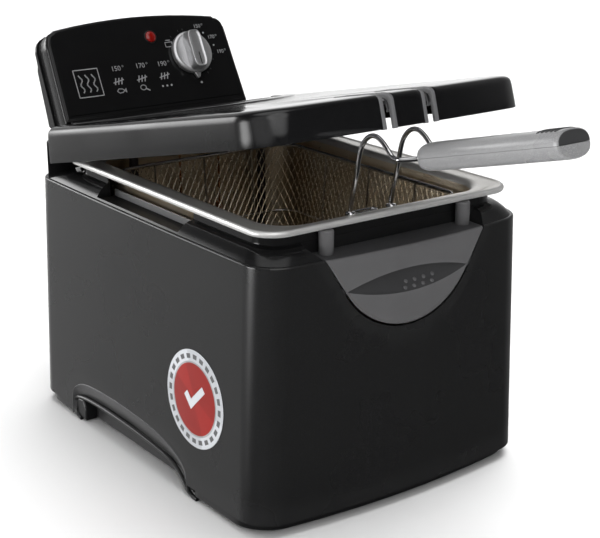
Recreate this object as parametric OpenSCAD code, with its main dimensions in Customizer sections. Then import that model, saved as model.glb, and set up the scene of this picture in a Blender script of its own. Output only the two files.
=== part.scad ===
// Deep fryer with a removable control unit, a lift-out pan, a wire basket and a tilting lid.
// Origin: under the middle of the whole appliance, on the surface it stands on. +X right, +Y to the rear.

/* [Casing] */
// Width of the casing at its top edge
casing_w = 250; // [240:1:262]
// Depth of the casing
casing_d = 344; // [340:1:352]
// Height of the casing's side walls
casing_h = 206; // [200:1:214]
// Distance of the casing's front corners ahead of the origin
front_reach = 119.3; // [100:0.1:140]
// Outward slope of the side walls towards the base, in degrees
wall_draft = 2; // [1:0.5:2.5]
// Bow of the front face
front_bow = 11; // [8:1:13]
// Rounding of the upright corners
corner_r = 23; // [18:1:28]
// Wall thickness of the mouldings
wall = 2.6; // [2.2:0.1:3]

/* [Base] */
// Inset of the base tray behind the casing's walls
tray_inset = 3.4; // [2.5:0.1:5]
// Height of the hand openings at their middle
hand_h = 32; // [28:1:36]
// Length of the hand openings along the base
hand_len = 194; // [180:1:200]
// Diameter of the round side badge
badge_dia = 77; // [70:1:80]

/* [Front grip] */
// Half width of the grip at its top edge
grip_half = 74; // [70:1:78]
// Depth of the grip below the casing's top edge
grip_drop = 60; // [56:1:64]

/* [Pan] */
// Width of the pan over its rolled rim
rim_w = 238; // [236:0.1:240]
// Depth of the pan over its rolled rim
rim_d = 298; // [294:1:298]
// Height of the rim's top face
rim_z = 229; // [228:0.1:230]
// Depth of the pan below its rim
pan_depth = 153; // [145:1:158]

/* [Basket] */
// Width of the basket over its top wire
basket_w = 184; // [178:1:186]
// Depth of the basket over its top wire
basket_d = 240; // [234:1:242]
// Height of the basket
basket_h = 100; // [92:1:100]
// Diameter of the handle wires
handle_wire = 3.6; // [3:0.1:3.8]
// Distance between the two handle wires
handle_gauge = 39; // [37:1:40]
// Upward tilt of the handle in degrees
handle_tilt = 14.3; // [12:0.1:16]
// Length of the grip
grip_len = 135; // [120:1:140]
// Width of the grip
grip_w = 31.4; // [28:0.2:34]
// Thickness of the grip
grip_t = 19.8; // [18.4:0.2:22]

/* [Lid] */
// Opening of the lid as stored, in degrees
lid_open = 12.6; // [10:0.1:14]
// Height of the lid from its lower edge to its top, at the rear
lid_h = 31; // [30:0.5:31]
// Loss of that height towards the front
lid_fall = 4.7; // [4:0.1:5.5]
// Rise of its lower edge towards the front
front_rise = 1.2; // [0:0.1:2]
// Width of the slots for the handle wires
slot_w = 4.6; // [4.4:0.1:5]
// Length of the slots along the lid
slot_len = 52; // [48:1:56]
// Diameter of the hinge pins
hinge_pin = 5; // [4:0.5:5]

/* [Control unit] */
// Backward lean of the panel in degrees
panel_lean = 28.2; // [26:0.1:30]
// Half width of the panel at its lower edge
panel_half = 95.5; // [94:0.5:96]
// Height of the panel along its slope
panel_h = 88; // [84:1:90]
// Depth of the front housing behind the panel
housing_t = 20; // [19:0.5:21]
// Diameter of the knob
knob_dia = 40.5; // [38:0.5:42]
// Diameter of the pilot lamp
lamp_dia = 10.5; // [10:0.5:12]

/* [Heater] */
// Diameter of the heating tube
tube_dia = 8; // [6.5:0.5:8]
// Distance between neighbouring runs of the heating tube
run_gap = 44; // [40:1:44]

/* [Hidden] */
$fn = 48;
eps = 0.01;
gap = 0.3;
run_fit = 0.05;

front_y = -front_reach;
rear_y = front_y + casing_d;
tower_h = 236.5;
tower_inset = 3;
back_y = rear_y - 0.6;
back_z = 214;
draft_k = tan(wall_draft);
side_bow = 1.4;
tray_z = 2.5;
seam_z = 10;
hand_mid_y = front_y + 186;
shoulder_z = 199;
upright_half = 110.5;
upright_front = front_y + 14;
upright_rear = front_y + 298;
upright_z = rim_z - 5.2;

rim_front = front_y + 5;
rim_rear = rim_front + rim_d;
rim_edge = 4.6;
pan_half = 98.5;
pan_front = front_y + 19;
pan_rear = front_y + 287;
pan_z = rim_z - pan_depth;
pan_r = 28;
sheet = 1;

basket_z = rim_z - 11;
basket_front = front_y + 30;
basket_rear = basket_front + basket_d;
basket_low = basket_z - basket_h;
foot_y = basket_front + 6.6;

hinge_y = front_y + 322;
hinge_z = 236;
lid_low = 218.8;
lid_top = lid_low + lid_h;
lid_half = casing_w / 2 + 0.6;
lid_front = front_y - 2.6;
lid_rear = front_y + 320;
lid_wall = 2.4;
leaf_x = 84.7;
leaf_half = 4.6;
slot_x = handle_gauge / 2;
vent_r = 96;
vent_depth = 88;

panel_y = front_y + 342;
panel_z = 250;
knob_x = 47.5;
knob_v = 46.5;
lamp_x = 10.6;
lamp_v = 66.3;
gland_x = 54;
neck_half = 90;
neck_front = front_y + 330;
neck_rear = back_y - wall - gap;
neck_z = casing_h + 0.4;
neck_step = neck_front + 8;

run_z = 101;
bend_r = 12;
riser_y = front_y + 276;
riser_x = 1.5 * run_gap;
run_front = front_y + 62;
run_rear = riser_y - 34;
lead_z = hinge_z;

// ---- outlines and lofted shells -------------------------------------------------------------

// Point where the lines p + u and q + v cross
function meet(p, u, q, v) =
    let (w = q - p, k = (w[0] * v[1] - w[1] * v[0]) / (u[0] * v[1] - u[1] * v[0])) p + k * u;

// Points along an edge from corner a to corner b, bowed to its right, cut back by ra at a and rb at b
function bowed(a, b, bow, ra, rb, n) =
    let (l = norm(b - a), d = (b - a) / l, o = [d[1], -d[0]])
    [for (i = [0:n]) let (t = (ra + (l - ra - rb) * i / n) / l) a + d * t * l + o * bow * 4 * t * (1 - t)];

// Direction of the same edge at its end (e = 1) or start (e = -1)
function heading(a, b, bow, r, e) =
    let (l = norm(b - a), d = (b - a) / l, o = [d[1], -d[0]], t = e > 0 ? 1 - r / l : r / l)
    d * l + o * bow * 4 * (1 - 2 * t);

// Rounded rectangle seen from above: half width, front and rear lines, bows and corner rounding
function outline(half, front, rear, bow, side, r, r_rear = 0, n = 6) =
    let (
        c = [[-half, front], [half, front], [half, rear], [-half, rear]],
        bows = [bow, side, 0, side],
        counts = [bow > 0 ? 10 : 1, side > 0 ? 4 : 1, 1, side > 0 ? 4 : 1],
        q_rear = r_rear > 0 ? r_rear : r,
        cut = [r, r, q_rear, q_rear],
        e = [for (i = [0:3]) bowed(c[i], c[(i + 1) % 4], bows[i], cut[i], cut[(i + 1) % 4], counts[i])]
    )
    [for (i = [0:3]) each concat(e[i], [
        for (k = [1:n - 1])
            let (
                j = (i + 1) % 4, t = k / n, w = 0.7071,
                p = e[i][len(e[i]) - 1], q = e[j][0],
                m = meet(p, heading(c[i], c[j], bows[i], cut[j], 1), q, heading(c[j], c[(j + 1) % 4], bows[j], cut[j], -1)),
                b = [(1 - t) * (1 - t), 2 * w * t * (1 - t), t * t]
            )
            (b[0] * p + b[1] * m + b[2] * q) / (b[0] + b[1] + b[2])
    ])];

function at_z(points, z) = [for (p = points) [p[0], p[1], z]];

// Surface through a stack of rings; the stack closes on itself, or ends in two flat caps
module skin(rings, closed = false) {
    n = len(rings[0]);
    m = len(rings);
    walls = [for (j = [0:(closed ? m - 1 : m - 2)], i = [0:n - 1], k = [0, 1])
        let (a = j * n + i, b = j * n + (i + 1) % n, c = ((j + 1) % m) * n + i, d = ((j + 1) % m) * n + (i + 1) % n)
        k == 0 ? [a, c, d] : [a, d, b]];
    caps = closed ? [] : [[for (i = [0:n - 1]) i], [for (i = [n - 1:-1:0]) (m - 1) * n + i]];
    polyhedron([for (r = rings) each r], concat(walls, caps));
}

// ---- casing ---------------------------------------------------------------------------------

function casing_half(z) = casing_w / 2 + (casing_h - z) * draft_k;

function casing_ring(z, inset) = at_z(
    outline(casing_half(z) - inset, front_y + inset, rear_y - inset, front_bow, side_bow, corner_r - inset / 2),
    z);

function upright_ring(z, inset) = at_z(
    outline(upright_half - inset, upright_front + inset, upright_rear - inset, 0.4, 0.4, 22),
    z);

module grip_face(margin) {
    r = (pow(grip_half - 17, 2) + pow(grip_drop - 28, 2)) / (2 * (grip_drop - 28));
    mid = casing_h - grip_drop + r;
    swing = asin((grip_half - 17) / r);
    polygon(concat(
        [[grip_half + margin, casing_h + 1], [-grip_half - margin, casing_h + 1]],
        [for (i = [0:16]) let (a = -90 - swing + i * swing / 8) [(r + margin) * cos(a), mid + (r + margin) * sin(a)]]
    ));
}

module along_y(from, to) {
    translate([0, to, 0]) rotate([90, 0, 0]) linear_extrude(to - from) children();
}

module side_cut() {
    rise = hand_h - seam_z;
    reach = hand_len / 2 + 8;
    r = (reach * reach + rise * rise) / (2 * rise);
    for (side = [-1, 1])
        intersection() {
            translate([side * 100, hand_mid_y, hand_h - r]) rotate([0, side * 90, 0]) cylinder(r = r, h = 50, $fn = 96);
            translate([side * 125 - 25, hand_mid_y - hand_len / 2, 0]) cube([50, hand_len, 60]);
        }
}

module finger_cut() {
    for (side = [-1, 1])
        translate([side * 108.8 - 12.7, front_y + 112, shoulder_z - 4]) cube([25.4, 124, 40]);
}

module tower() {
    inner = 98;
    cheek_y = front_y + 323;
    difference() {
        translate([0, 0, shoulder_z - 6]) linear_extrude(tower_h - shoulder_z + 6) difference() {
            polygon(outline(casing_w / 2 - tower_inset, front_y, back_y, front_bow, side_bow, corner_r));
            translate([-200, front_y - 50]) square([400, cheek_y - front_y + 50]);
        }
        translate([0, 0, shoulder_z - 8]) linear_extrude(tower_h - shoulder_z + 8 - wall) difference() {
            polygon(outline(casing_w / 2 - tower_inset - wall, front_y + wall, back_y - wall, front_bow, side_bow,
                corner_r - wall / 2));
            for (side = [-1, 1]) translate([side * (inner + 60) - 60, cheek_y - 10]) square([120, 10 + wall]);
            for (side = [-1, 1]) translate([side * (inner + wall / 2) - wall / 2, cheek_y]) square([wall, 40]);
        }
        translate([-inner, rear_y - 40, back_z]) cube([2 * inner, 60, 60]);
        translate([-inner, cheek_y - 1, upright_z - 4]) cube([2 * inner, wall + 1.1, 60]);
    }
}

module casing_shell() {
    color("#26262a") difference() {
        union() {
            skin([
                casing_ring(seam_z, 0), casing_ring(casing_h - 3, 0), casing_ring(casing_h - 0.9, 0.9),
                casing_ring(casing_h, 3), casing_ring(casing_h - 3, 7),
                upright_ring(shoulder_z, 0), upright_ring(upright_z, 0), upright_ring(upright_z, 2.2),
                upright_ring(shoulder_z - 3, 2.2), casing_ring(casing_h - 9, wall), casing_ring(seam_z, wall)
            ], closed = true);
            tower();
        }
        along_y(front_y - 30, upright_front + eps) grip_face(gap);
        finger_cut();
        side_cut();
    }
}

module base_tray() {
    half = casing_half(seam_z) - tray_inset;
    front = front_y + 5.6;
    rear = rear_y - 5;
    pocket = 14;
    color("#1c1c1f") difference() {
        union() {
            translate([0, 0, tray_z]) linear_extrude(seam_z - tray_z)
                polygon(outline(half, front, rear, front_bow, side_bow, 26));
            for (side = [-1, 1])
                translate([side * (half - pocket - wall / 2) - wall / 2, hand_mid_y - hand_len / 2 - 3, tray_z])
                    cube([wall, hand_len + 6, hand_h + 4]);
        }
        translate([0, 0, tray_z + wall]) linear_extrude(seam_z)
            difference() {
                polygon(outline(half - wall, front + wall, rear - wall, front_bow, side_bow, 24.6));
                for (side = [-1, 1])
                    translate([side * (half - pocket) - wall - 0.2, hand_mid_y - hand_len / 2 - 3])
                        square([2 * wall + 0.4, hand_len + 6]);
            }
        for (side = [-1, 1])
            translate([side * (half - pocket + 25) - 25, hand_mid_y - hand_len / 2, -1])
                cube([50, hand_len, hand_h * 2]);
        for (row = [-3:3], side = [-1, 1])
            translate([side * 40 - 22, front_y + 180 + row * 9, -1]) cube([44, 3.5, 10]);
    }
}

module foot_places(z) {
    for (side = [-1, 1], y = [front_y + 44, front_y + 310])
        translate([side * 104, y, z]) children();
}

module rubber_feet() {
    color("#151515") foot_places(0) cylinder(d = 24, h = tray_z);
}

module base_screws() {
    color("silver") foot_places(tray_z + wall) {
        cylinder(d = 8, h = 2.4);
        translate([0, 0, 2.4]) cylinder(d = 3.5, h = 8);
    }
}

module front_grip() {
    shelf_z = casing_h - 34.5;
    lens_half = grip_half - 17;
    lens_rise = 8.5;
    lens_r = (lens_half * lens_half + lens_rise * lens_rise) / (2 * lens_rise);
    color("#6a6a6c") difference() {
        intersection() {
            union() {
                skin([casing_ring(120, 0), casing_ring(casing_h - 1.5, 0), casing_ring(casing_h, 1.5)]);
                translate([0, front_y + 21, casing_h - 38]) rotate([0, 90, 0])
                    translate([0, 0, -45]) cylinder(r = 33.5, h = 90);
            }
            along_y(front_y - 20, upright_front - 1) grip_face(0);
        }
        along_y(front_y - 30, front_y - 3) intersection() {
            translate([0, shelf_z + 8 - lens_rise + lens_r]) circle(r = lens_r, $fn = 180);
            translate([0, shelf_z + 8 + lens_rise - lens_r]) circle(r = lens_r, $fn = 180);
        }
        along_y(front_y + 1, upright_front + 1) translate([-grip_half - 5, 0]) square([2 * grip_half + 10, casing_h - 3]);
    }
}

module rim_posts() {
    color("#77777a") for (side = [-1, 1])
        translate([side * 65, front_y + 6.5, casing_h]) cylinder(d = 11, h = rim_z - rim_edge - gap - casing_h);
}

module side_badge() {
    tilt = atan(draft_k);
    z = 85;
    y = front_y + 82;
    span = casing_d - 2 * (y - front_y);
    bow = side_bow * (1 - pow(span / casing_d, 2));
    color("#b9bbbf") translate([-casing_half(z) - bow - 0.25, y, z]) rotate([0, -90 + tilt, 0.5])
        difference() {
            cylinder(d = badge_dia, h = 0.7);
            translate([0, 0, 0.5]) difference() {
                cylinder(d = badge_dia - 4, h = 1);
                translate([0, 0, -1]) cylinder(d = badge_dia - 16, h = 3);
            }
        }
}

// ---- pan ------------------------------------------------------------------------------------

function pan_ring(z, inset, r = 28) = at_z(
    outline(pan_half - inset, pan_front + inset, pan_rear - inset, 0, 0, r),
    z);

function rim_ring(z, inset) = at_z(
    outline(rim_w / 2 - inset, rim_front + inset, rim_rear - inset, 0, 0, 22 - inset / 2),
    z);

module inner_pan() {
    taper = 8;
    color("#b8b2a6") skin([
        pan_ring(pan_z - sheet, taper + 8), pan_ring(pan_z + 1.5, taper + 1.5), pan_ring(pan_z + 9, taper - sheet),
        pan_ring(rim_z - 7, -sheet), pan_ring(rim_z - 2.4, -sheet - 1.6), pan_ring(rim_z - sheet, -sheet - 5),
        rim_ring(rim_z - sheet, 2.6), rim_ring(rim_z - rim_edge, 1.8), rim_ring(rim_z - rim_edge, 0.5),
        rim_ring(rim_z - 2.4, 0), rim_ring(rim_z - 0.4, 0.6), rim_ring(rim_z, 2.2),
        pan_ring(rim_z, -6), pan_ring(rim_z - 1.6, -1.8), pan_ring(rim_z - 7, 0),
        pan_ring(pan_z + 9, taper), pan_ring(pan_z + 2.4, taper + 2.4), pan_ring(pan_z, taper + 8)
    ]);
}

// ---- basket ---------------------------------------------------------------------------------

function basket_ring(z, inset) = at_z(
    outline(basket_w / 2 - inset, basket_front + inset, basket_rear - inset, 0, 0, 22),
    z);

// Wire bent into a flat rounded rectangle around the basket
module wire_loop(half, front, rear, r, d) {
    for (side = [-1, 1]) {
        translate([side * half, front + r, 0]) rotate([-90, 0, 0]) cylinder(d = d, h = rear - front - 2 * r);
        translate([-half + r, side > 0 ? rear : front, 0]) rotate([0, 90, 0]) cylinder(d = d, h = 2 * (half - r));
    }
    for (sx = [-1, 1], sy = [0, 1])
        translate([sx * (half - r), sy == 1 ? rear - r : front + r, 0])
            rotate([0, 0, (sy == 1 ? (sx > 0 ? 0 : 90) : (sx > 0 ? 270 : 180))])
                rotate_extrude(angle = 90) translate([r, 0]) circle(d = d, $fn = 24);
}

module basket_mesh() {
    taper = 8;
    skin_t = 1.4;
    color("#b3a58e") skin([
        basket_ring(basket_low, taper + 6), basket_ring(basket_low + 6, taper), basket_ring(basket_z - 2.4, 0.4),
        basket_ring(basket_z - 2.4, 0.4 + skin_t), basket_ring(basket_low + 6, taper + skin_t),
        basket_ring(basket_low + skin_t, taper + 6)
    ]);
}

module basket_rim() {
    color("#d0d0d2") translate([0, 0, basket_z])
        wire_loop(basket_w / 2 - 1.9, basket_front + 1.9, basket_rear - 1.9, 20, 3.8);
}

module basket_frame() {
    color("#c4c4c6") translate([0, 0, basket_low + 40])
        wire_loop(basket_w / 2 - 2.2, basket_front + 2.2, basket_rear - 2.2, 22, 2.4);
}

module handle_brackets() {
    color("#d0d0d2") for (side = [-1, 1])
        translate([side * slot_x, foot_y, 0]) difference() {
            translate([-4, -2.7, basket_z - 10]) cube([8, 5.6, 14]);
            translate([0, 0, basket_z - 11]) cylinder(d = handle_wire + 2 * run_fit, h = 30);
        }
}

function handle_y(s) = front_y - 30 - s * cos(handle_tilt);
function handle_z(s) = 274.7 + s * sin(handle_tilt);

// Middle line of one handle wire, from its foot over the arch and into the grip
function wire_line(side) = let (x = side * slot_x) [
    [x, foot_y, basket_z - 9], [x, foot_y, 226], [x, front_y + 30, 252], [x, front_y + 26, 270],
    [x, front_y + 21.5, 278.5], [x, front_y + 15, 283.6], [x, front_y + 8, 284.6], [x, front_y + 1.5, 282],
    [x, front_y - 4.5, 277.5], [x, front_y - 9.5, 273.5], [x, front_y - 14, 272.3],
    [x * 0.97, front_y - 18, 272.6], [x * 0.6, handle_y(-2), handle_z(-2)], [x * 0.5, handle_y(6), handle_z(6)],
    [x * 0.5, handle_y(34), handle_z(34)]
];

// Round wire swept along a line of points that stays close to one upright plane
module swept_wire(line, d, n = 12) {
    m = len(line);
    skin([for (i = [0:m - 1])
        let (
            raw = line[min(i + 1, m - 1)] - line[max(i - 1, 0)],
            t = raw / norm(raw), side = [1, 0, 0] - t * t[0], u = side / norm(side), v = cross(t, u)
        )
        [for (k = [0:n - 1]) line[i] + d / 2 * (cos(360 * k / n) * u + sin(360 * k / n) * v)]
    ]);
}

module handle_wires() {
    color("#d6d6d8") for (side = [-1, 1]) swept_wire(wire_line(side), handle_wire);
}

module latch_loop() {
    r = 3;
    reach = 19;
    d = 2;
    color("#d6d6d8") translate([-slot_x + 4.2, foot_y + r, basket_z + 2.2]) {
        for (side = [-1, 1]) translate([0, side * r, 0]) rotate([0, 90, 0]) cylinder(d = d, h = reach);
        translate([reach, 0, 0]) rotate([0, 0, -90]) rotate_extrude(angle = 180) translate([r, 0]) circle(d = d, $fn = 24);
    }
}

function grip_ring(s, k) = [for (i = [0:23])
    let (a = 15 * i, e = 0.8, c = cos(a), n = sin(a),
        x = sign(c) * pow(abs(c), e) * grip_w / 2 * k,
        z = sign(n) * pow(abs(n), e) * grip_t / 2 * k)
    [x, handle_y(s) + z * sin(handle_tilt), handle_z(s) + z * cos(handle_tilt)]];

module grip_body() {
    difference() {
        skin([grip_ring(0, 0.8), grip_ring(1.2, 0.94), grip_ring(5, 1),
            grip_ring(grip_len - 3.4, 0.985), grip_ring(grip_len - 1.4, 0.96), grip_ring(grip_len, 0.88)]);
        for (side = [-1, 1]) swept_wire([for (i = [10:14]) let (p = wire_line(side)[i]) p], handle_wire + 0.4);
    }
}

// The half space above (1) or below (-1) the grip's seam
module seam_side(side) {
    translate([0, handle_y(0), handle_z(0)]) rotate([-handle_tilt, 0, 0])
        translate([-30, -grip_len - 20, side > 0 ? 0 : -40]) cube([60, grip_len + 40, 40]);
}

module grip_upper() {
    color("#b4b5b8") intersection() {
        grip_body();
        seam_side(1);
    }
}

module grip_screw_places() {
    for (s = [50, 100])
        translate([0, handle_y(s), handle_z(s)]) rotate([-handle_tilt, 0, 0]) children();
}

module grip_lower() {
    color("#a9aaad") difference() {
        intersection() {
            grip_body();
            seam_side(-1);
        }
        grip_screw_places() translate([0, 0, -20]) cylinder(d = 6, h = 14);
    }
}

module grip_screws() {
    color("silver") grip_screw_places() translate([0, 0, -8.2]) cylinder(d = 5.6, h = 2.2);
}

// ---- lid ------------------------------------------------------------------------------------

// Moves what is drawn on the closed lid to the stored, partly open position
module lid_swing() {
    translate([0, hinge_y, hinge_z]) rotate([-lid_open, 0, 0]) translate([0, -hinge_y, -hinge_z]) children();
}

// Height in the closed lid at h above its lower edge: the top falls, and the edge rises, towards the front
function lid_z(h, y) =
    let (along = (lid_rear - y) / (lid_rear - lid_front), up = h / lid_h)
    lid_low + h + along * (front_rise * (1 - up) - lid_fall * up);

function lid_ring(h, inset) = [
    for (p = outline(lid_half - inset, lid_front + inset, lid_rear - inset, front_bow, side_bow, 27 - inset / 2, 4))
        [p[0], p[1], lid_z(h, p[1])]
];

// Frame on the lid's top face: origin in the middle of its rear edge, y to the rear, z out of the face
module on_lid_top() {
    translate([0, lid_rear, lid_top]) rotate([atan(lid_fall / (lid_rear - lid_front)), 0, 0]) children();
}

// Rounded segment of the vent, its straight side at the rear
module vent_plate(margin, h) {
    linear_extrude(h) intersection() {
        translate([0, vent_r - vent_depth - 14]) circle(r = vent_r + margin, $fn = 96);
        translate([-150, -14 - vent_depth - margin]) square([300, vent_depth + 2 * margin]);
    }
}

module wire_slots(width, top) {
    for (side = [-1, 1])
        translate([side * slot_x - width / 2, front_y - 30, lid_low - 5])
            cube([width, 30 + slot_len - front_bow, top - lid_low + 5]);
}

// Clears the hinge lugs and the heater leads at every opening of the lid
module rear_notch() {
    translate([-95, lid_rear - 8.4, lid_low - 1]) cube([190, 20, 60]);
}

module lid_shell() {
    color("#17171a") lid_swing() difference() {
        skin([
            lid_ring(lid_h - lid_wall, 11), lid_ring(lid_h - lid_wall - 1, 7), lid_ring(lid_h - 9, 3.6),
            lid_ring(0, lid_wall), lid_ring(0, 0), lid_ring(lid_h - 8, 1), lid_ring(lid_h - 3, 2.6),
            lid_ring(lid_h - 0.8, 5.6), lid_ring(lid_h, 9)
        ]);
        wire_slots(slot_w + 8, lid_top + 5);
        rear_notch();
        on_lid_top() translate([0, 0, -8]) vent_plate(gap, 20);
    }
}

module lid_liner() {
    foot = rim_z + 3.5 - lid_low;
    top = lid_h - lid_wall - 0.8;
    color("#8d8d90") lid_swing() difference() {
        skin([
            lid_ring(top - 1.2, 14.6), lid_ring(foot + 3, 12.4), lid_ring(foot, 13.8),
            lid_ring(foot, 12.4), lid_ring(foot + 3, 11), lid_ring(top, 13.2)
        ]);
        wire_slots(slot_w + 8, lid_top + 5);
        translate([-riser_x - 10, lid_rear - 60, lid_low - 1]) cube([2 * riser_x + 20, 90, 25.4]);
        for (side = [-1, 1])
            translate([side * 93 - 17, lid_rear - 32, lid_low - 1]) cube([34, 50, 40]);
        on_lid_top() translate([0, 0, -20]) vent_plate(-6, 40);
    }
}

module lid_hinge_leaves() {
    plate_t = 2.4;
    top = lid_top - lid_wall - 1;
    color("#9a9a9e") lid_swing() for (side = [-1, 1])
        difference() {
            union() {
                translate([side * leaf_x - leaf_half, hinge_y, hinge_z]) rotate([0, 90, 0]) cylinder(r = 6, h = 2 * leaf_half);
                translate([side * leaf_x - leaf_half, hinge_y - 6, hinge_z]) cube([2 * leaf_half, 6, top - hinge_z]);
                translate([side * 94 - 13.9, hinge_y - 17, top - plate_t]) cube([27.8, 4, plate_t]);
                translate([side * leaf_x - leaf_half, hinge_y - 17, top - plate_t]) cube([2 * leaf_half, 17, plate_t]);
                translate([side * 102 - 5.9, hinge_y - 32, top - plate_t]) cube([11.8, 19, plate_t]);
            }
            translate([side * leaf_x - 10, hinge_y, hinge_z]) rotate([0, 90, 0]) cylinder(d = hinge_pin + 2 * run_fit, h = 20);
        }
}

module slot_liners() {
    lip = 3.6;
    color("#88888b") lid_swing() for (side = [-1, 1])
        difference() {
            intersection() {
                skin([lid_ring(-0.6, -0.4), lid_ring(lid_h - 8, 0.6), lid_ring(lid_h - 3, 2.2),
                    lid_ring(lid_h - 0.5, 5.2), lid_ring(lid_h + 0.4, 9)]);
                translate([side * slot_x - slot_w / 2 - lip, front_y - 30, lid_low - 5])
                    cube([slot_w + 2 * lip, 29.6 + slot_len - front_bow, 60]);
            }
            translate([side * slot_x - slot_w / 2, front_y - 40, lid_low - 10])
                cube([slot_w, 36 + slot_len - front_bow, 80]);
            translate([side * slot_x - 20, front_y + front_bow - 19, lid_low - 10])
                cube([40, 70, lid_h - lid_fall - 2.6 + 10]);
        }
}

module vent_cover() {
    pitch = 7;
    color("#202023") lid_swing() on_lid_top() difference() {
        translate([0, 0, -3]) vent_plate(0, 3);
        for (i = [0:9])
            let (y = -24 - i * pitch, half = sqrt(pow(vent_r - 9, 2) - pow(y + 14 + vent_depth - vent_r, 2)))
            translate([-half, y, -5]) cube([2 * half, 3, 10]);
    }
}

module grease_filter() {
    color("#6f6a60") lid_swing() on_lid_top() translate([0, 0, -5.4]) vent_plate(-7, 2.3);
}

module filter_grid() {
    color("#a8a8aa") lid_swing() on_lid_top() difference() {
        translate([0, 0, -6.4]) vent_plate(-6.6, 0.9);
        for (i = [-5:5], j = [0:4])
            translate([i * 11.5, -36 - j * 11, -8]) cylinder(d = 7, h = 5);
    }
}

module lid_screws() {
    color("silver") lid_swing() for (x = [-102, 102], y = [hinge_y - 28, hinge_y - 17])
        translate([x, y, lid_top - lid_wall - 5.6]) cylinder(d = 6, h = 2.2);
}

module lid_pivots() {
    color("#c8c8ca") for (side = [-1, 1])
        translate([side * leaf_x - 9.3, hinge_y, hinge_z]) rotate([0, 90, 0]) cylinder(d = hinge_pin, h = 18.6);
}

// ---- control unit ---------------------------------------------------------------------------

// Frame of the panel: x across, y up the slope, z out of the face
module on_panel() {
    translate([0, panel_y, panel_z]) rotate([90 - panel_lean, 0, 0]) children();
}

function arch_v(x) = panel_h - 7 * pow(x / 88, 2);

module panel_shape(margin) {
    top_half = panel_half - 3.2;
    polygon(concat(
        [[-panel_half - margin, -4 - margin], [panel_half + margin, -4 - margin], [top_half + 1 + margin, arch_v(top_half) - 11]],
        [for (i = [1:5]) let (a = 15 * i) [
            top_half - 9.5 + (10 + margin) * cos(a), arch_v(top_half) - 11 + (11 + margin) * sin(a)]],
        [for (i = [8:-1:-8]) let (x = i * (top_half - 10) / 8) [x, arch_v(x) + margin]],
        [for (i = [5:-1:1]) let (a = 15 * i) [
            9.5 - top_half - (10 + margin) * cos(a), arch_v(top_half) - 11 + (11 + margin) * sin(a)]],
        [[-top_half - 1 - margin, arch_v(top_half) - 11]]
    ));
}

module along_x(half) {
    translate([-half, 0, 0]) rotate([90, 0, 90]) linear_extrude(2 * half) children();
}

module neck_profile(m) {
    polygon([
        [neck_front + m, neck_z + m], [neck_front + m, neck_z + 15.6 - 0.4 * m], [neck_step + m, neck_z + 23.6 - 0.4 * m],
        [neck_step + m, 242 - 0.4 * m], [panel_y + 0.5 + 0.6 * m, 247.6 - 0.9 * m], [panel_y + 6, 258 - m], [panel_y + 18 - m, 256 - m],
        [panel_y + 15 - m, 238], [panel_y + 10 - 0.8 * m, 222 + 0.6 * m], [panel_y + 4 - 0.4 * m, back_z + 0.5 + m],
        [neck_rear - m, back_z + 0.5 + m], [neck_rear - m, neck_z + m]
    ]);
}

module hinge_lugs() {
    for (side = [-1, 1], x = [77.6, 91.8])
        difference() {
            union() {
                translate([side * x - 1.9, hinge_y, hinge_z]) rotate([0, 90, 0]) cylinder(r = 6, h = 3.8);
                translate([side * x - 1.9, hinge_y, hinge_z - 6]) cube([3.8, neck_step - hinge_y + 1, 12]);
            }
            translate([side * x - 5, hinge_y, hinge_z]) rotate([0, 90, 0]) cylinder(d = hinge_pin + 2 * run_fit, h = 10);
            translate([side * x - 5, hinge_y - hinge_pin / 2 - run_fit, hinge_z]) cube([10, hinge_pin + 2 * run_fit, 20]);
        }
}

module control_front() {
    color("#1b1b1e") difference() {
        union() {
            on_panel() translate([0, 0, -housing_t]) linear_extrude(housing_t) panel_shape(0);
            along_x(neck_half) neck_profile(0);
            hinge_lugs();
        }
        difference() {
            union() {
                on_panel() translate([0, 0, -housing_t - 1]) linear_extrude(housing_t - wall + 1) panel_shape(-wall);
                along_x(neck_half - wall) neck_profile(wall);
            }
            on_panel() for (x = [-70, 70]) translate([x, 12, -housing_t]) cylinder(d = 8, h = housing_t);
        }
        on_panel() translate([knob_x, knob_v, -10]) cylinder(d = 10, h = 20);
        on_panel() translate([lamp_x, lamp_v, -10]) cylinder(d = lamp_dia - 2, h = 20);
        for (side = [-1, 1])
            translate([side * riser_x, neck_step - 5, lead_z]) rotate([-90, 0, 0]) cylinder(d = tube_dia + 2 * gap, h = 10);
        for (x = [-20, 20])
            translate([x, neck_step - 5, lead_z]) rotate([-90, 0, 0]) cylinder(d = 3.4, h = 10);
    }
}

// Upright section of the panel drawn in v and depth, run across it
module along_panel(half) {
    translate([-half, 0, 0]) rotate([90, 0, 90]) linear_extrude(2 * half) children();
}

module rear_profile() {
    polygon([
        [-2, -housing_t], [panel_h - 5, -housing_t], [panel_h - 9, -housing_t - 2.6],
        [58, -housing_t - 4], [54, -housing_t - 7], [4, -housing_t - 11], [-2, -housing_t - 6]
    ]);
}

module control_rear() {
    color("#232327") on_panel() difference() {
        intersection() {
            along_panel(panel_half + 10) rear_profile();
            translate([0, 0, -60]) linear_extrude(60) panel_shape(1.6);
        }
        intersection() {
            along_panel(panel_half)
                polygon([[1, -housing_t + 1], [panel_h - 11, -housing_t + 1], [56, -housing_t - 4.4],
                    [5, -housing_t - 8.4], [1, -housing_t - 4]]);
            translate([0, 0, -60]) linear_extrude(60) panel_shape(-1);
        }
        translate([-40, 34, -60]) cylinder(d = 7, h = 60);
        translate([gland_x, 18, -60]) cylinder(d = 12, h = 60);
        for (i = [-3:3]) translate([i * 8 - 1.5, 20, -60]) cube([3, 22, 60]);
    }
}

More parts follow.
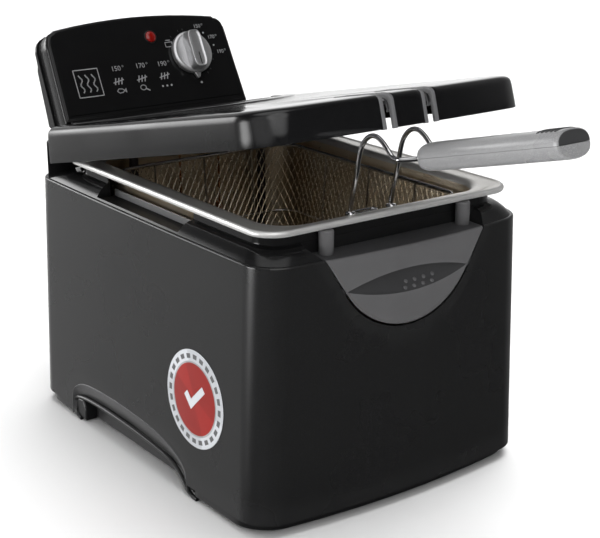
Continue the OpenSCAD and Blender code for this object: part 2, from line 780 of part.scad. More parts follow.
module control_fascia() {
    color("#0e0e10") on_panel() difference() {
        linear_extrude(0.8) panel_shape(-2.4);
        translate([knob_x, knob_v, -1]) cylinder(d = 9, h = 3);
        translate([lamp_x, lamp_v, -1]) cylinder(d = lamp_dia + 0.6, h = 3);
    }
}

module pilot_lamp() {
    color("#c3160f") on_panel() translate([lamp_x, lamp_v, 0]) {
        cylinder(d = lamp_dia, h = 1.2);
        translate([0, 0, 1.2]) cylinder(d1 = lamp_dia, d2 = lamp_dia - 3.4, h = 1.6);
        translate([0, 0, -4.6]) cylinder(d = lamp_dia - 2.4, h = 4.6);
    }
}

module lamp_holder() {
    color("#e0ddd2") on_panel() translate([lamp_x, lamp_v, -13]) cylinder(d = 8, h = 8.2);
}

module control_knob() {
    color("#c2c3c6") on_panel() translate([knob_x, knob_v, 1.2]) {
        difference() {
            union() {
                cylinder(d = knob_dia, h = 4.6);
                translate([0, 0, 4.6]) cylinder(d1 = knob_dia, d2 = knob_dia - 5, h = 1.6);
                translate([-7, -18, 6.2]) cube([14, 36, 9]);
                linear_extrude(4) polygon([[-5, -15], [5, -15], [0.8, -25], [-0.8, -25]]);
            }
            translate([0, 0, -1]) cylinder(d = 6.1, h = 10);
        }
    }
}

module thermostat_body() {
    color("#b9b4a5") on_panel() translate([knob_x, knob_v, 0]) {
        translate([0, 0, -4.4]) cylinder(d = 6, h = 14.4);
        translate([0, 0, -6]) cylinder(d = 16, h = 1.6);
        translate([0, 0, -16]) cylinder(d = 30, h = 10);
    }
}

module safety_cutout() {
    color("#d8d4c6") on_panel() translate([-40, 34, -19]) cylinder(d = 18, h = 12);
}

module reset_button() {
    color("#b8221a") on_panel() translate([-40, 34, -32.6]) cylinder(d = 6.4, h = 11.2);
}

module terminal_block() {
    color("#e6e2d6") on_panel() difference() {
        translate([26, 4, -17]) cube([30, 14, 11]);
        for (i = [0:2]) translate([31 + i * 10, 11, -18]) cylinder(d = 4, h = 20);
    }
}

module safety_switch() {
    color("#2b2f38") translate([-10, neck_front + 3, neck_z + 3]) cube([20, 4.6, 10.4]);
    color("#d0453a") translate([-1.5, neck_front + 4.6, neck_z + 13.4]) cube([3, 3, 1.4]);
}

module cord_gland() {
    color("#141416") on_panel() translate([gland_x, 18, -34]) difference() {
        union() {
            cylinder(d = 18, h = 3);
            cylinder(d = 11.6, h = 12);
        }
        translate([0, 0, -1]) cylinder(d = 7, h = 20);
    }
}

module control_screws() {
    color("silver") on_panel() for (x = [-70, 70])
        translate([x, 12, -housing_t - 12.9]) cylinder(d = 7, h = 2.2);
}

// ---- heater ---------------------------------------------------------------------------------

module quarter_bend(r, d) {
    rotate_extrude(angle = 90) translate([r, 0]) circle(d = d, $fn = 32);
}

module heating_element() {
    r_turn = run_gap / 2;
    color("#4a4a4c") {
        for (side = [-1, 1]) {
            // lead into the neck, then the bend over the pan's rim
            translate([side * riser_x, riser_y + bend_r, lead_z]) rotate([-90, 0, 0])
                cylinder(d = tube_dia, h = neck_step + 5 - riser_y - bend_r);
            translate([side * riser_x, riser_y + bend_r, lead_z - bend_r]) rotate([0, -90, 0]) rotate([0, 0, 180])
                mirror([1, 0, 0]) quarter_bend(bend_r, tube_dia);
            translate([side * riser_x, riser_y, run_z + bend_r]) cylinder(d = tube_dia, h = lead_z - run_z - 2 * bend_r);
            translate([side * riser_x, riser_y - bend_r, run_z + bend_r]) rotate([0, -90, 0]) rotate([0, 0, 180])
                mirror([0, 1, 0]) quarter_bend(bend_r, tube_dia);
            translate([side * riser_x, run_front, run_z]) rotate([-90, 0, 0])
                cylinder(d = tube_dia, h = riser_y - bend_r - run_front);
            translate([side * run_gap / 2, run_front, run_z]) rotate([-90, 0, 0])
                cylinder(d = tube_dia, h = run_rear - run_front);
            translate([side * run_gap, run_front, run_z]) rotate([0, 0, 180])
                rotate_extrude(angle = 180) translate([r_turn, 0]) circle(d = tube_dia, $fn = 32);
        }
        translate([0, run_rear, run_z])
            rotate_extrude(angle = 180) translate([r_turn, 0]) circle(d = tube_dia, $fn = 32);
    }
}

module element_bracket() {
    z = lead_z + tube_dia / 2 + 0.2;
    color("#a9a9ac") {
        difference() {
            union() {
                translate([-riser_x - 9, riser_y - 5, z]) cube([2 * riser_x + 18, neck_step - riser_y + 4.8, 1.4]);
                for (side = [-1, 1])
                    translate([side * (riser_x + 8.3) - 0.7, riser_y - 5, z - 9]) cube([1.4, neck_step - riser_y + 4.8, 9]);
            }
            for (x = [-20, 20]) translate([x, riser_y, z - 1]) cylinder(d = 8, h = 4);
        }
    }
}

module element_guard() {
    strap_z = run_z + tube_dia / 2;
    color("#b4b4b7") {
        for (y = [run_front + 26, run_rear - 40])
            translate([-riser_x - 9, y, strap_z]) cube([2 * riser_x + 18, 12, 1.4]);
        for (x = [-run_gap, 0, run_gap])
            translate([x - 1, run_front + 10, strap_z + 1.4]) cube([2, run_rear - run_front - 26, basket_low - gap - strap_z - 1.4]);
    }
}

module probe(x, d, z_low) {
    translate([x, riser_y, z_low]) cylinder(d = d, h = 60);
    translate([x, riser_y, z_low + 60]) cylinder(d = 2, h = lead_z - 12 - z_low - 60);
    translate([x, riser_y + bend_r, lead_z - bend_r]) rotate([0, -90, 0]) rotate([0, 0, 180])
        mirror([1, 0, 0]) quarter_bend(bend_r, 2);
    translate([x, riser_y + bend_r, lead_z]) rotate([-90, 0, 0]) cylinder(d = 2, h = neck_step + 5 - riser_y - bend_r);
}

module thermostat_sensor() {
    color("#c98b5a") probe(20, 6, run_z + 12);
}

module cutout_sensor() {
    color("#c98b5a") probe(-20, 5, run_z + 20);
}

casing_shell();
base_tray();
rubber_feet();
base_screws();
front_grip();
rim_posts();
side_badge();
inner_pan();
basket_mesh();
basket_rim();
basket_frame();
handle_brackets();
handle_wires();
latch_loop();
grip_upper();
grip_lower();
grip_screws();
control_front();
control_rear();
control_fascia();
pilot_lamp();
lamp_holder();
thermostat_body();
safety_cutout();
terminal_block();
safety_switch();
heating_element();
element_bracket();
element_guard();
thermostat_sensor();
cutout_sensor();
cord_gland();
control_screws();
control_knob();
reset_button();
lid_pivots();
lid_shell();
lid_liner();
lid_hinge_leaves();
slot_liners();
vent_cover();
grease_filter();
filter_grid();
lid_screws();
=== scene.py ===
import math
import bpy
import bmesh
from mathutils import Vector, Matrix


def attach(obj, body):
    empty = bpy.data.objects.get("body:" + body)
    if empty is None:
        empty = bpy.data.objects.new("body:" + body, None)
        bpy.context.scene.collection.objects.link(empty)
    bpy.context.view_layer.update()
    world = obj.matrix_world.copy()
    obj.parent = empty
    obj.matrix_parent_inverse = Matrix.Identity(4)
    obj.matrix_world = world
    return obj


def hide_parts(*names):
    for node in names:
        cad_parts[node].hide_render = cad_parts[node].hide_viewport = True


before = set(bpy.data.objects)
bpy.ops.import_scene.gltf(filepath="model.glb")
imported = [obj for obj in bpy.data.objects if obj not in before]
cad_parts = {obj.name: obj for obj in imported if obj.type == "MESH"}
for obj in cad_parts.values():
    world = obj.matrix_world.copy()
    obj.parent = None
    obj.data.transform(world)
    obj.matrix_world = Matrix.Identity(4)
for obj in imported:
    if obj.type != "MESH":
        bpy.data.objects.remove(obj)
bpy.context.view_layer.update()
scene = bpy.context.scene

# ---------------------------------------------------------------- shared sizes, in mm as in the CAD source
FY = -119.3                             # front corners of the casing; every y below is counted from here
HALF, TOP, DRAFT = 125, 206, 2          # casing's half width at its top edge, that edge's z, draft in degrees
DEPTH, BOW, SIDE_BOW, CORNER = 344, 11, 1.4, 23     # casing's depth, its front's and sides' bulge, corners
HINGE = (322.0, 236.0)                  # y and z of the lid's axis
OPEN = math.radians(12.6)               # how far the lid stands open
PANEL = (342.0, 250.0)                  # y and z where the control panel's face starts
LEAN = math.radians(28.2)               # the face's lean to the rear
KNOB = (47.5, 46.5)                     # knob's middle on the face
SLOT_X = 19.5                           # handle's wires, to each side of the middle
SLOTS = (-20.3, 18.1)                   # middles of the lid's two slots


def mm(x, y, z):
    return Vector((x / 1000, (FY + y) / 1000, z / 1000))


# ---------------------------------------------------------------- camera
YAW, PITCH = 36.31, 17.98               # degrees to the right of straight ahead, and downwards
cam_data = bpy.data.cameras.new("cam")
cam_data.sensor_width, cam_data.lens = 36, 83.1894
cam_data.clip_start, cam_data.clip_end = 0.05, 200
cam = bpy.data.objects.new("cam", cam_data)
cam.location = mm(-634.75, -737.64, 499.02)
cam.rotation_euler = (math.radians(90 - PITCH), 0, math.radians(-YAW))
scene.collection.objects.link(cam)
scene.camera = cam
scene.view_settings.view_transform = "Standard"


# ---------------------------------------------------------------- materials
def plug(t, socket, value):
    """Links another node's output to a socket, or sets the socket; colours are written without alpha."""
    if isinstance(value, bpy.types.NodeSocket):
        t.links.new(value, socket)
    else:
        socket.default_value = (*value, 1) if socket.type == "RGBA" else value


def node(t, kind, out, sockets, **settings):
    """Output out of a new shader node."""
    n = t.nodes.new("ShaderNode" + kind)
    for key, value in settings.items():
        setattr(n, key, value)
    for key, value in sockets.items():
        plug(t, n.inputs[key], value)
    return n.outputs[out]


def principled(name, base, rough, metal=0.0, spec=0.5, glow=(1, 1, 1), strength=0.0):
    m = bpy.data.materials.new(name)
    m.use_nodes = True
    t = m.node_tree
    b = t.nodes["Principled BSDF"]
    sockets = {"Base Color": base, "Roughness": rough, "Metallic": metal, "Specular IOR Level": spec,
               "Emission Color": glow, "Emission Strength": strength}
    for key, value in sockets.items():
        plug(t, b.inputs[key], value)
    return m, t, b


def coords(t, scale=(1, 1, 1)):
    return node(t, "Mapping", "Vector", {"Vector": node(t, "TexCoord", "Object", {}), "Scale": scale})


def noise(t, vec, scale, detail=3, rough=0.5):
    return node(t, "TexNoise", "Fac", {"Vector": vec, "Scale": scale, "Detail": detail, "Roughness": rough})


def ramp(t, fac, a, b, lo=0.0, hi=1.0):
    """a up to lo, b from hi on."""
    return node(t, "MapRange", "Result",
                {"Value": fac, "From Min": lo, "From Max": hi, "To Min": a, "To Max": b})


def tint(t, fac, a, b):
    return node(t, "Mix", "Result", {"Factor": fac, "A": a, "B": b}, data_type="RGBA")


def bump(t, b, height, strength, dist):
    n = node(t, "Bump", "Normal", {"Height": height, "Strength": strength, "Distance": dist})
    plug(t, b.inputs["Normal"], n)


def plastic(name, base, rough, vary=0.06, grain=900, grain_amount=0.12, fleck=None, spec=0.5):
    """Moulded plastic: fine grain, slow roughness drift, convex edges painted lighter as a painted highlight,
    optional metallic fleck.
    """
    m, t, b = principled(name, base, rough, spec=spec)
    v = coords(t)
    light = tuple(min(c * 1.35 + 0.002, 1) for c in base)
    if fleck:
        col = tint(t, ramp(t, noise(t, v, 2600, 1, 0.4), 0, 1, 0.56, 0.72), base, fleck)
    else:
        col = tint(t, ramp(t, noise(t, v, 60, 4), 0, 0.5), base, light)
    # convex edges turn lighter: a painted highlight
    edges = ramp(t, node(t, "NewGeometry", "Pointiness", {}), 0, 1, 0.53, 0.61)
    plug(t, b.inputs["Base Color"], tint(t, edges, col, light))
    plug(t, b.inputs["Roughness"], ramp(t, noise(t, v, 14), max(rough - vary, 0.02), rough + vary, 0.3, 0.7))
    bump(t, b, noise(t, v, grain, 4, 0.6), grain_amount, 0.00006)
    return m


def metal(name, base, rough, scale, amount, heat=None, stretch=(1, 1, 1), vary=0.08, body=1.0):
    """Steel: brushed or rolled grain, roughness drift, optional heat tint in patches."""
    m, t, b = principled(name, base, rough, metal=body)
    grain = noise(t, coords(t, stretch), scale, 4, 0.6)
    patch = ramp(t, noise(t, coords(t), 18, 4), 0, 1, 0.42, 0.66)
    plug(t, b.inputs["Roughness"], ramp(t, grain, rough - vary, rough + vary, 0.3, 0.7))
    plug(t, b.inputs["Base Color"], tint(t, patch, base, heat or tuple(c * 0.9 for c in base)))
    bump(t, b, grain, amount, 0.00004)
    return m


def lamp_red():
    """Moulded red lens with a faint glow and fine pebbling."""
    m, t, b = principled("lamp_lens", (0.26, 0.006, 0.004), 0.14, spec=0.6, glow=(1, 0.03, 0.015),
                         strength=0.03)
    bump(t, b, noise(t, coords(t), 1200, 2), 0.08, 0.00005)
    return m


M = {
    # name, colour, roughness, its drift, grain, grain's depth, flecks
    "side": plastic("casing_side", (0.0125, 0.0125, 0.0128), 0.28, 0.03, 1600, 0.045, (0.032, 0.032, 0.033)),
    "gloss": plastic("casing_gloss", (0.0085, 0.0085, 0.0088), 0.13, 0.03, 240, 0.015, spec=0.3),
    "lidtop": plastic("lid_gloss", (0.008, 0.008, 0.0085), 0.10, 0.03, 240, 0.012, (0.02, 0.02, 0.021)),
    "lidside": plastic("lid_fleck", (0.005, 0.005, 0.0052), 0.25, 0.04, 1800, 0.10, (0.020, 0.020, 0.021),
                       0.34),
    "black": plastic("inner_black", (0.010, 0.010, 0.0105), 0.32, 0.05, 700, 0.08),
    "matte": plastic("matte_black", (0.014, 0.014, 0.0145), 0.55, 0.06, 700, 0.2),
    # darker, duller black for the scoops' ledges: painted shade in the recess under the pan's rim
    "shade": plastic("recess_painted_shade", (0.008, 0.008, 0.0083), 0.60, 0.05, 700, 0.1, spec=0.1),
    "grip": plastic("grip_grey", (0.105, 0.104, 0.107), 0.46, 0.05, 1500, 0.22),
    # darker grey for the grip's dish and the ledge under the rim, as painted shade in those recesses; also the
    # handle's ribs and its upper end face
    "grip_dark": plastic("grip_dish", (0.045, 0.045, 0.047), 0.55, 0.05, 1500, 0.25),
    # lighter flecked grey for the band in the hand openings and its crease line: painted reflection of the floor,
    # and a painted highlight along the crease
    "band": plastic("casing_band_painted_light", (0.050, 0.050, 0.051), 0.30, 0.04, 1600, 0.10, (0.085, 0.085, 0.087)),
    "liner": plastic("liner_grey", (0.17, 0.17, 0.175), 0.42, 0.05, 1200, 0.16),
    "silver": plastic("handle_silver", (0.30, 0.30, 0.305), 0.28, 0.05, 1800, 0.10, (0.52, 0.52, 0.53)),
    "rubber": plastic("foot_rubber", (0.012, 0.012, 0.012), 0.78, 0.06, 500, 0.4),
    "cream": plastic("heatproof_cream", (0.62, 0.60, 0.53), 0.5, 0.06, 600, 0.15),
    "ring": plastic("label_silver", (0.50, 0.515, 0.54), 0.34, 0.05, 300, 0.02),
    "print": plastic("print_grey", (0.32, 0.32, 0.33), 0.5, 0.05, 900, 0.05),
    "faint": plastic("print_faint", (0.085, 0.085, 0.088), 0.5, 0.05, 900, 0.05),
    "red": plastic("label_red", (0.27, 0.011, 0.007), 0.30, 0.05, 300, 0.02),
    "button": plastic("button_red", (0.40, 0.02, 0.012), 0.35, 0.05, 500, 0.06),
    "fibre": plastic("filter_fibre", (0.15, 0.135, 0.11), 0.95, 0.03, 380, 0.9),
    "lens": lamp_red(),
    # name, colour, roughness, grain, grain's depth, heat tint, grain's stretch
    "steel": metal("pan_steel", (0.66, 0.645, 0.62), 0.36, 260, 0.06, (0.60, 0.58, 0.545), (6, 1, 6),
                   body=0.78),
    # golden tone painted in as the reflection of fried food, with real heat tint in patches
    "panin": metal("pan_heat_tint_and_painted_reflection", (0.74, 0.64, 0.50), 0.34, 160, 0.03, (0.62, 0.49, 0.33), (1, 1, 5), body=0.9),
    # lighter, less metallic copy of the pan steel: a painted highlight along the rim's bead
    "bead": metal("rim_bead_painted_highlight", (0.86, 0.855, 0.84), 0.43, 300, 0.012, vary=0.02, body=0.6),
    "chrome": metal("chrome_wire", (0.70, 0.70, 0.71), 0.10, 500, 0.05, (0.62, 0.62, 0.64), vary=0.05),
    "wire": metal("basket_wire", (0.92, 0.85, 0.72), 0.28, 600, 0.05, (0.80, 0.66, 0.46), body=0.8),
    "bracket": metal("pressed_steel", (0.45, 0.44, 0.43), 0.32, 260, 0.12, stretch=(1, 5, 1)),
    "tube": metal("heater_tube", (0.17, 0.16, 0.155), 0.38, 500, 0.25, (0.10, 0.085, 0.09)),
    "copper": metal("copper_probe", (0.62, 0.33, 0.18), 0.26, 400, 0.10, (0.42, 0.20, 0.11)),
    "zinc": metal("screw_zinc", (0.55, 0.55, 0.56), 0.28, 700, 0.12),
    "knob": metal("knob_silver", (0.62, 0.62, 0.63), 0.29, 700, 0.006, stretch=(6, 1, 6), vary=0.03, body=0.75),
}


# ---------------------------------------------------------------- mesh helpers; sizes in mm, angles in degrees
def smooth(o, angle):
    """Round shading, with a crease wherever faces meet at more than angle."""
    for p in o.data.polygons:
        p.use_smooth = True
    o.data.set_sharp_from_angle(angle=math.radians(angle))
    return o


def dress(o, mats, pick):
    """Gives a mesh finishes from M; pick counts out the one for each face."""
    o.data.materials.clear()
    for m in mats:
        o.data.materials.append(M[m])
    for p in o.data.polygons:
        p.material_index = pick(p)
    return o


def link(name, me):
    o = bpy.data.objects.new(name, me)
    scene.collection.objects.link(o)
    return o


def make(name, verts, faces, mat, angle=32, place=None, clean=True):
    """Mesh from points in the casing's frame, or in that of the matrix place; flat shaded without an angle."""
    me = bpy.data.meshes.new(name)
    me.from_pydata([tuple(place @ (Vector(v) / 1000) if place else mm(*v)) for v in verts], [], faces)
    if clean:
        bm = bmesh.new()
        bm.from_mesh(me)
        bmesh.ops.remove_doubles(bm, verts=bm.verts, dist=1e-6)
        bmesh.ops.recalc_face_normals(bm, faces=bm.faces)
        bm.to_mesh(me)
        bm.free()
    me.validate()
    me.materials.append(M[mat])
    o = link(name, me)
    return smooth(o, angle) if angle else o


def loft(name, rings, mat, close=False, **kw):
    """Skin over rings of points; its ends are capped, or joined to each other when it closes."""
    n, k = len(rings[0]), len(rings)
    faces = []
    for j in range(k if close else k - 1):
        a, b = j * n, ((j + 1) % k) * n
        faces += [(a + i, a + (i + 1) % n, b + (i + 1) % n, b + i) for i in range(n)]
    if not close:
        faces += [tuple(range(n))[::-1], tuple((k - 1) * n + i for i in range(n))]
    return make(name, [p for r in rings for p in r], faces, mat, **kw)


def apply_mods(o):
    dg = bpy.context.evaluated_depsgraph_get()
    me = bpy.data.meshes.new_from_object(o.evaluated_get(dg), preserve_all_data_layers=True, depsgraph=dg)
    o.modifiers.clear()
    old, o.data = o.data, me
    bpy.data.meshes.remove(old)
    return o


def carve(o, cutter, operation="DIFFERENCE", angle=32):
    m = o.modifiers.new("b", "BOOLEAN")
    m.object, m.operation, m.solver = cutter, operation, "EXACT"
    apply_mods(o)
    bpy.data.objects.remove(cutter)
    return smooth(o, angle)


def soften(o, width, segments, angle):
    m = o.modifiers.new("edge", "BEVEL")
    m.width, m.segments, m.limit_method, m.angle_limit = width / 1000, segments, "ANGLE", math.radians(angle)
    return m


def bevel(o, width, segments=2, angle=40):
    soften(o, width, segments, angle).miter_outer = "MITER_ARC"
    return apply_mods(o)


def at(points, z):
    return [(x, y, z) for x, y in points]


def prism(points, lo, hi, axis, name="prism", mat="matte", r=0.0, seg=2):
    """Outline swept from lo to hi: (y, z) points along "x", (x, z) points along "y"; r rounds its edges."""
    put = (lambda p, t: (t, *p)) if axis == "x" else (lambda p, t: (p[0], t, p[1]))
    o = loft(name, [[put(p, t) for p in points] for t in (lo, hi)], mat)
    return bevel(o, r, seg) if r else o


def block(x0, x1, y0, y1, z0, z1, name="block", mat="matte", r=0.0):
    return prism([(x0, z0), (x1, z0), (x1, z1), (x0, z1)], y0, y1, "y", name, mat, r)


def slab(points, lo, hi, place, mat="gloss", angle=None):
    """Flat outline in the plane of a matrix, from height lo to height hi."""
    return loft("slab", [at(points, lo), at(points, hi)], mat, place=place, angle=angle)


def circle(x, y, r, n=20, squash=1.0):
    turn = [2 * math.pi * i / n for i in range(n)]
    return [(x + r * math.cos(a), y + squash * r * math.sin(a)) for a in turn]


def lathe(name, profile, mat, place, steps=48, angle=30):
    """Profile of (radius, height) turned about the z axis of a matrix."""
    return loft(name, [at(circle(0, 0, r, steps), h) for r, h in profile], mat, place=place, angle=angle)


def spline(pts, steps, closed=False):
    """Catmull-Rom points through pts."""
    out, m = [], len(pts)
    for i in range(m if closed else m - 1):
        get = (lambda k: pts[k % m]) if closed else (lambda k: pts[min(max(k, 0), m - 1)])
        p0, p1, p2, p3 = get(i - 1), get(i), get(i + 1), get(i + 2)
        for s in range(steps):
            t = s / steps
            out.append(0.5 * ((2 * p1) + (p2 - p0) * t + (2 * p0 - 5 * p1 + 4 * p2 - p3) * t * t
                              + (3 * p1 - p0 - 3 * p2 + p3) * t ** 3))
    return out if closed else out + [pts[-1]]


def tube(name, lines, d, mat, sides=12, closed=False, smooth_steps=0):
    """Round wire of diameter d along each line of points."""
    v, f = [], []
    for line in lines:
        pts = [Vector(p) for p in line]
        if smooth_steps:
            pts = spline(pts, smooth_steps, closed)
        m, base, up = len(pts), len(v), None
        for i in range(m):
            ahead, behind = ((i + 1) % m, i - 1) if closed else (min(i + 1, m - 1), max(i - 1, 0))
            t = (pts[ahead] - pts[behind]).normalized()
            up = t.orthogonal() if up is None else up
            up = (up - t * up.dot(t)).normalized()
            v += [pts[i] + c * up + s * t.cross(up) for c, s in circle(0, 0, d / 2, sides)]
        for i in range(m if closed else m - 1):
            a, b = base + i * sides, base + ((i + 1) % m) * sides
            f += [(a + k, a + (k + 1) % sides, b + (k + 1) % sides, b + k) for k in range(sides)]
        if not closed:
            last = base + (m - 1) * sides
            f += [tuple(range(base, base + sides))[::-1], tuple(range(last, last + sides))]
    return make(name, v, f, mat, angle=50, clean=False)


def join(name, objs):
    """One object from several, keeping each one's materials."""
    mats, bm = [], bmesh.new()
    for o in objs:
        base = len(mats)
        mats += [s.material for s in o.material_slots]
        for p in o.data.polygons:
            p.material_index += base
        bm.from_mesh(o.data)
        bpy.data.objects.remove(o)
    me = bpy.data.meshes.new(name)
    bm.to_mesh(me)
    bm.free()
    for m in mats:
        me.materials.append(m)
    return link(name, me)


def give(o, body, slot_name, *nodes):
    """Hands a piece over to its body, in place of its CAD nodes."""
    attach(o, body)
    if nodes:
        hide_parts(*nodes)
    return o


# ---------------------------------------------------------------- outlines
def bulge(t, height):
    return height * 4 * t * (1 - t)


def bowed(a, b, bow, ra, rb, n):
    """Side from a to b, bulging by bow, without the stretches ra and rb that the corners take."""
    l = math.dist(a, b)
    d = ((b[0] - a[0]) / l, (b[1] - a[1]) / l)
    out = []
    for i in range(n + 1):
        t = (ra + (l - ra - rb) * i / n) / l
        s = bulge(t, bow)
        out.append((a[0] + d[0] * t * l + d[1] * s, a[1] + d[1] * t * l - d[0] * s))
    return out


def heading(a, b, bow, r, at_end):
    """Direction of such a side, a length r from one of its ends."""
    l = math.dist(a, b)
    d = ((b[0] - a[0]) / l, (b[1] - a[1]) / l)
    t = 1 - r / l if at_end else r / l
    k = bow * 4 * (1 - 2 * t)
    return (d[0] * l + d[1] * k, d[1] * l - d[0] * k)


def outline(half, front, rear, bow, side, r, r_rear=None, nf=36, ns=24, nr=12, nc=12):
    """Rounded plan with bulging front and sides; nf, ns, nr and nc count the steps along front, sides, rear
    and corners."""
    c = [(-half, front), (half, front), (half, rear), (-half, rear)]
    bows, counts = [bow, side, 0, side], [nf, ns, nr, ns]
    cut = [r, r, r_rear or r, r_rear or r]
    edge = [bowed(c[i], c[(i + 1) % 4], bows[i], cut[i], cut[(i + 1) % 4], counts[i]) for i in range(4)]
    out = []
    for i in range(4):
        j = (i + 1) % 4
        p, q = edge[i][-1], edge[j][0]
        u = heading(c[i], c[j], bows[i], cut[j], True)
        v = heading(c[j], c[(j + 1) % 4], bows[j], cut[j], False)
        k = ((q[0] - p[0]) * v[1] - (q[1] - p[1]) * v[0]) / (u[0] * v[1] - u[1] * v[0])
        m = (p[0] + k * u[0], p[1] + k * u[1])
        out += edge[i]
        for s in range(1, nc):                      # conic round the corner, close to a circle
            t = s / nc
            b = [(1 - t) ** 2, 2 * 0.7071 * t * (1 - t), t * t]
            out.append(tuple((b[0] * p[g] + b[1] * m[g] + b[2] * q[g]) / sum(b) for g in (0, 1)))
    return out


def casing_half(z):
    return HALF + (TOP - z) * math.tan(math.radians(DRAFT))


def casing_ring(z, inset):
    return at(outline(casing_half(z) - inset, inset, DEPTH - inset, BOW, SIDE_BOW, CORNER - inset / 2), z)


def upright_ring(z, inset):
    """The collar round the pan, above the casing's top edge."""
    return at(outline(110.5 - inset, 14 + inset, 298 - inset, 0.4, 0.4, 22 - inset * 0.6), z)


def mix(ra, rb, t, z):
    return [(a[0] + (b[0] - a[0]) * t, a[1] + (b[1] - a[1]) * t, z) for a, b in zip(ra, rb)]


def wall_x(y, z):
    """Outer face of the right wall."""
    return casing_half(z) + bulge(min(max(y / DEPTH, 0), 1), SIDE_BOW)


def front_y(x):
    """Outer face of the front wall at the top edge."""
    return -bulge((x + HALF) / (2 * HALF), BOW)


def resample(points, n):
    """n + 1 points evenly spaced along a smooth line through points."""
    fine = spline([Vector((*p, 0)) for p in points], 12)
    run = [0.0]
    for a, b in zip(fine, fine[1:]):
        run.append(run[-1] + (b - a).length)
    out, k = [], 0
    for i in range(n + 1):
        s = run[-1] * i / n
        while k < len(run) - 2 and run[k + 1] < s:
            k += 1
        t = (s - run[k]) / max(run[k + 1] - run[k], 1e-9)
        out.append(tuple(fine[k].lerp(fine[k + 1], min(max(t, 0), 1)).xy))
    return out


# ---------------------------------------------------------------- casing
GRIP_R, GRIP_Z = 66.77, 212.77          # arc of the grip's lower edge: radius, and height of its middle
GRIP_TURN = math.radians(58.6)          # how far the arc reaches to each side of straight down


def grip_outline(m, top):
    """Opening for the grip in the front wall, grown by m, as (x, z)."""
    out = [(81 + m, top), (-81 - m, top), (-81 - m, 213), (-74 - m, 205.6)]
    for i in range(41):
        a = GRIP_TURN * (i / 20 - 1)
        out.append(((GRIP_R + m) * math.sin(a), GRIP_Z - (GRIP_R + m) * math.cos(a)))
    return out + [(74 + m, 205.6), (81 + m, 213)]


# (y, z) along the hand opening in each side wall, and along the gap inside it
CREASE = [(281, 4), (281, 12), (280.5, 22), (276, 29.5), (262, 36.5), (240, 39.5), (210, 41), (180, 40.6),
          (152, 39.3), (130, 36.5), (112, 31.5), (100, 25), (94.5, 17), (93, 8), (92.4, 4)]
GAP = [(273, 4), (275.6, 9), (276.4, 15), (272, 20.5), (261, 23), (239, 24.6), (213, 25.2), (188, 24.9),
       (163, 23.4), (140, 21.4), (124, 19.2), (112, 16), (104, 11.4), (99, 6.6), (96.8, 4)]


def casing_body():
    """Walls of one closed skin: up the outside, over the shoulder and the collar, down the inside."""
    low, wall = 10.0, 2.6
    rings = [casing_ring(z, 0) for z in (low, *(20 + k * 11.5 for k in range(16)), 204.2)]
    for i in range(1, 6):                           # rounded top edge
        a = math.pi / 2 * i / 5
        rings.append(casing_ring(TOP - 1.5 + 1.5 * math.sin(a), 1.5 - 1.5 * math.cos(a)))
    base, top = casing_ring(TOP, 2.1), upright_ring(215.6, -1.6)
    rings += [mix(base, top, i / 8, 205.9 + 9.4 * (1 - (1 - i / 8) ** 1.7)) for i in range(9)]
    rings += [upright_ring(z, i) for z, i in ((215.7, -0.9), (216.1, -0.1), (217, 0), (222.9, 0), (223.8, 0.7),
                                              (223.8, 1.7), (223.2, 2.2), (205, 2.2))]
    rings += [casing_ring(200, 3.4), casing_ring(190, wall), casing_ring(low, wall)]
    return loft("casing", rings, "side", close=True, angle=35)


def tower():
    """Cheeks and rear wall beside the neck of the control unit."""
    def plan(z, inset):
        pts = outline(122 - inset, inset, 343.4 - inset, BOW, SIDE_BOW, CORNER)
        return [(x, max(y, 323 + inset), z) for x, y in pts]
    o = loft("tower", [plan(196, 0), plan(235.4, 0), plan(236.5, 1.1)], "side", angle=35)
    carve(o, block(-98, 98, 300, 360, 214, 260))
    return carve(o, block(-97, 97, 325.6, 340.6, 190, 240))


def scoop(s):
    """Cutter for the finger scoop under the pan's rim on side s; its ends slant outwards."""
    floor = [(s * 123.2, 205.9), (s * 104, 204.4), (s * 99, 204.4), (s * 99, 260), (s * 123.2, 260)]
    o = prism(floor, 112, 237, "y")
    for v in o.data.vertices:
        outward = 1 - (abs(v.co.x * 1000) - 99) / 24.2
        end = -1 if v.co.y * 1000 - FY < 175 else 1
        v.co.y += end * 6 * outward / 1000
    return o


def opening_band(s):
    """Sloping strip from the crease of a hand opening in to its gap, as a closed loft."""
    rings = []
    for (ya, za), (yb, zb) in zip(resample(CREASE, 72), resample(GAP, 72)):
        outer = [(s * (wall_x(ya, za) - 0.15 - 4.6 * t ** 1.25), ya + (yb - ya) * t, za + (zb - za) * t)
                 for t in (k / 7 for k in range(8))]
        rings.append(outer + [(x - s * 1.8, y, z) for x, y, z in outer[::-1]])
    # the band's lighter grey is a painted reflection of the floor
    return loft("band", rings, "band", angle=40)


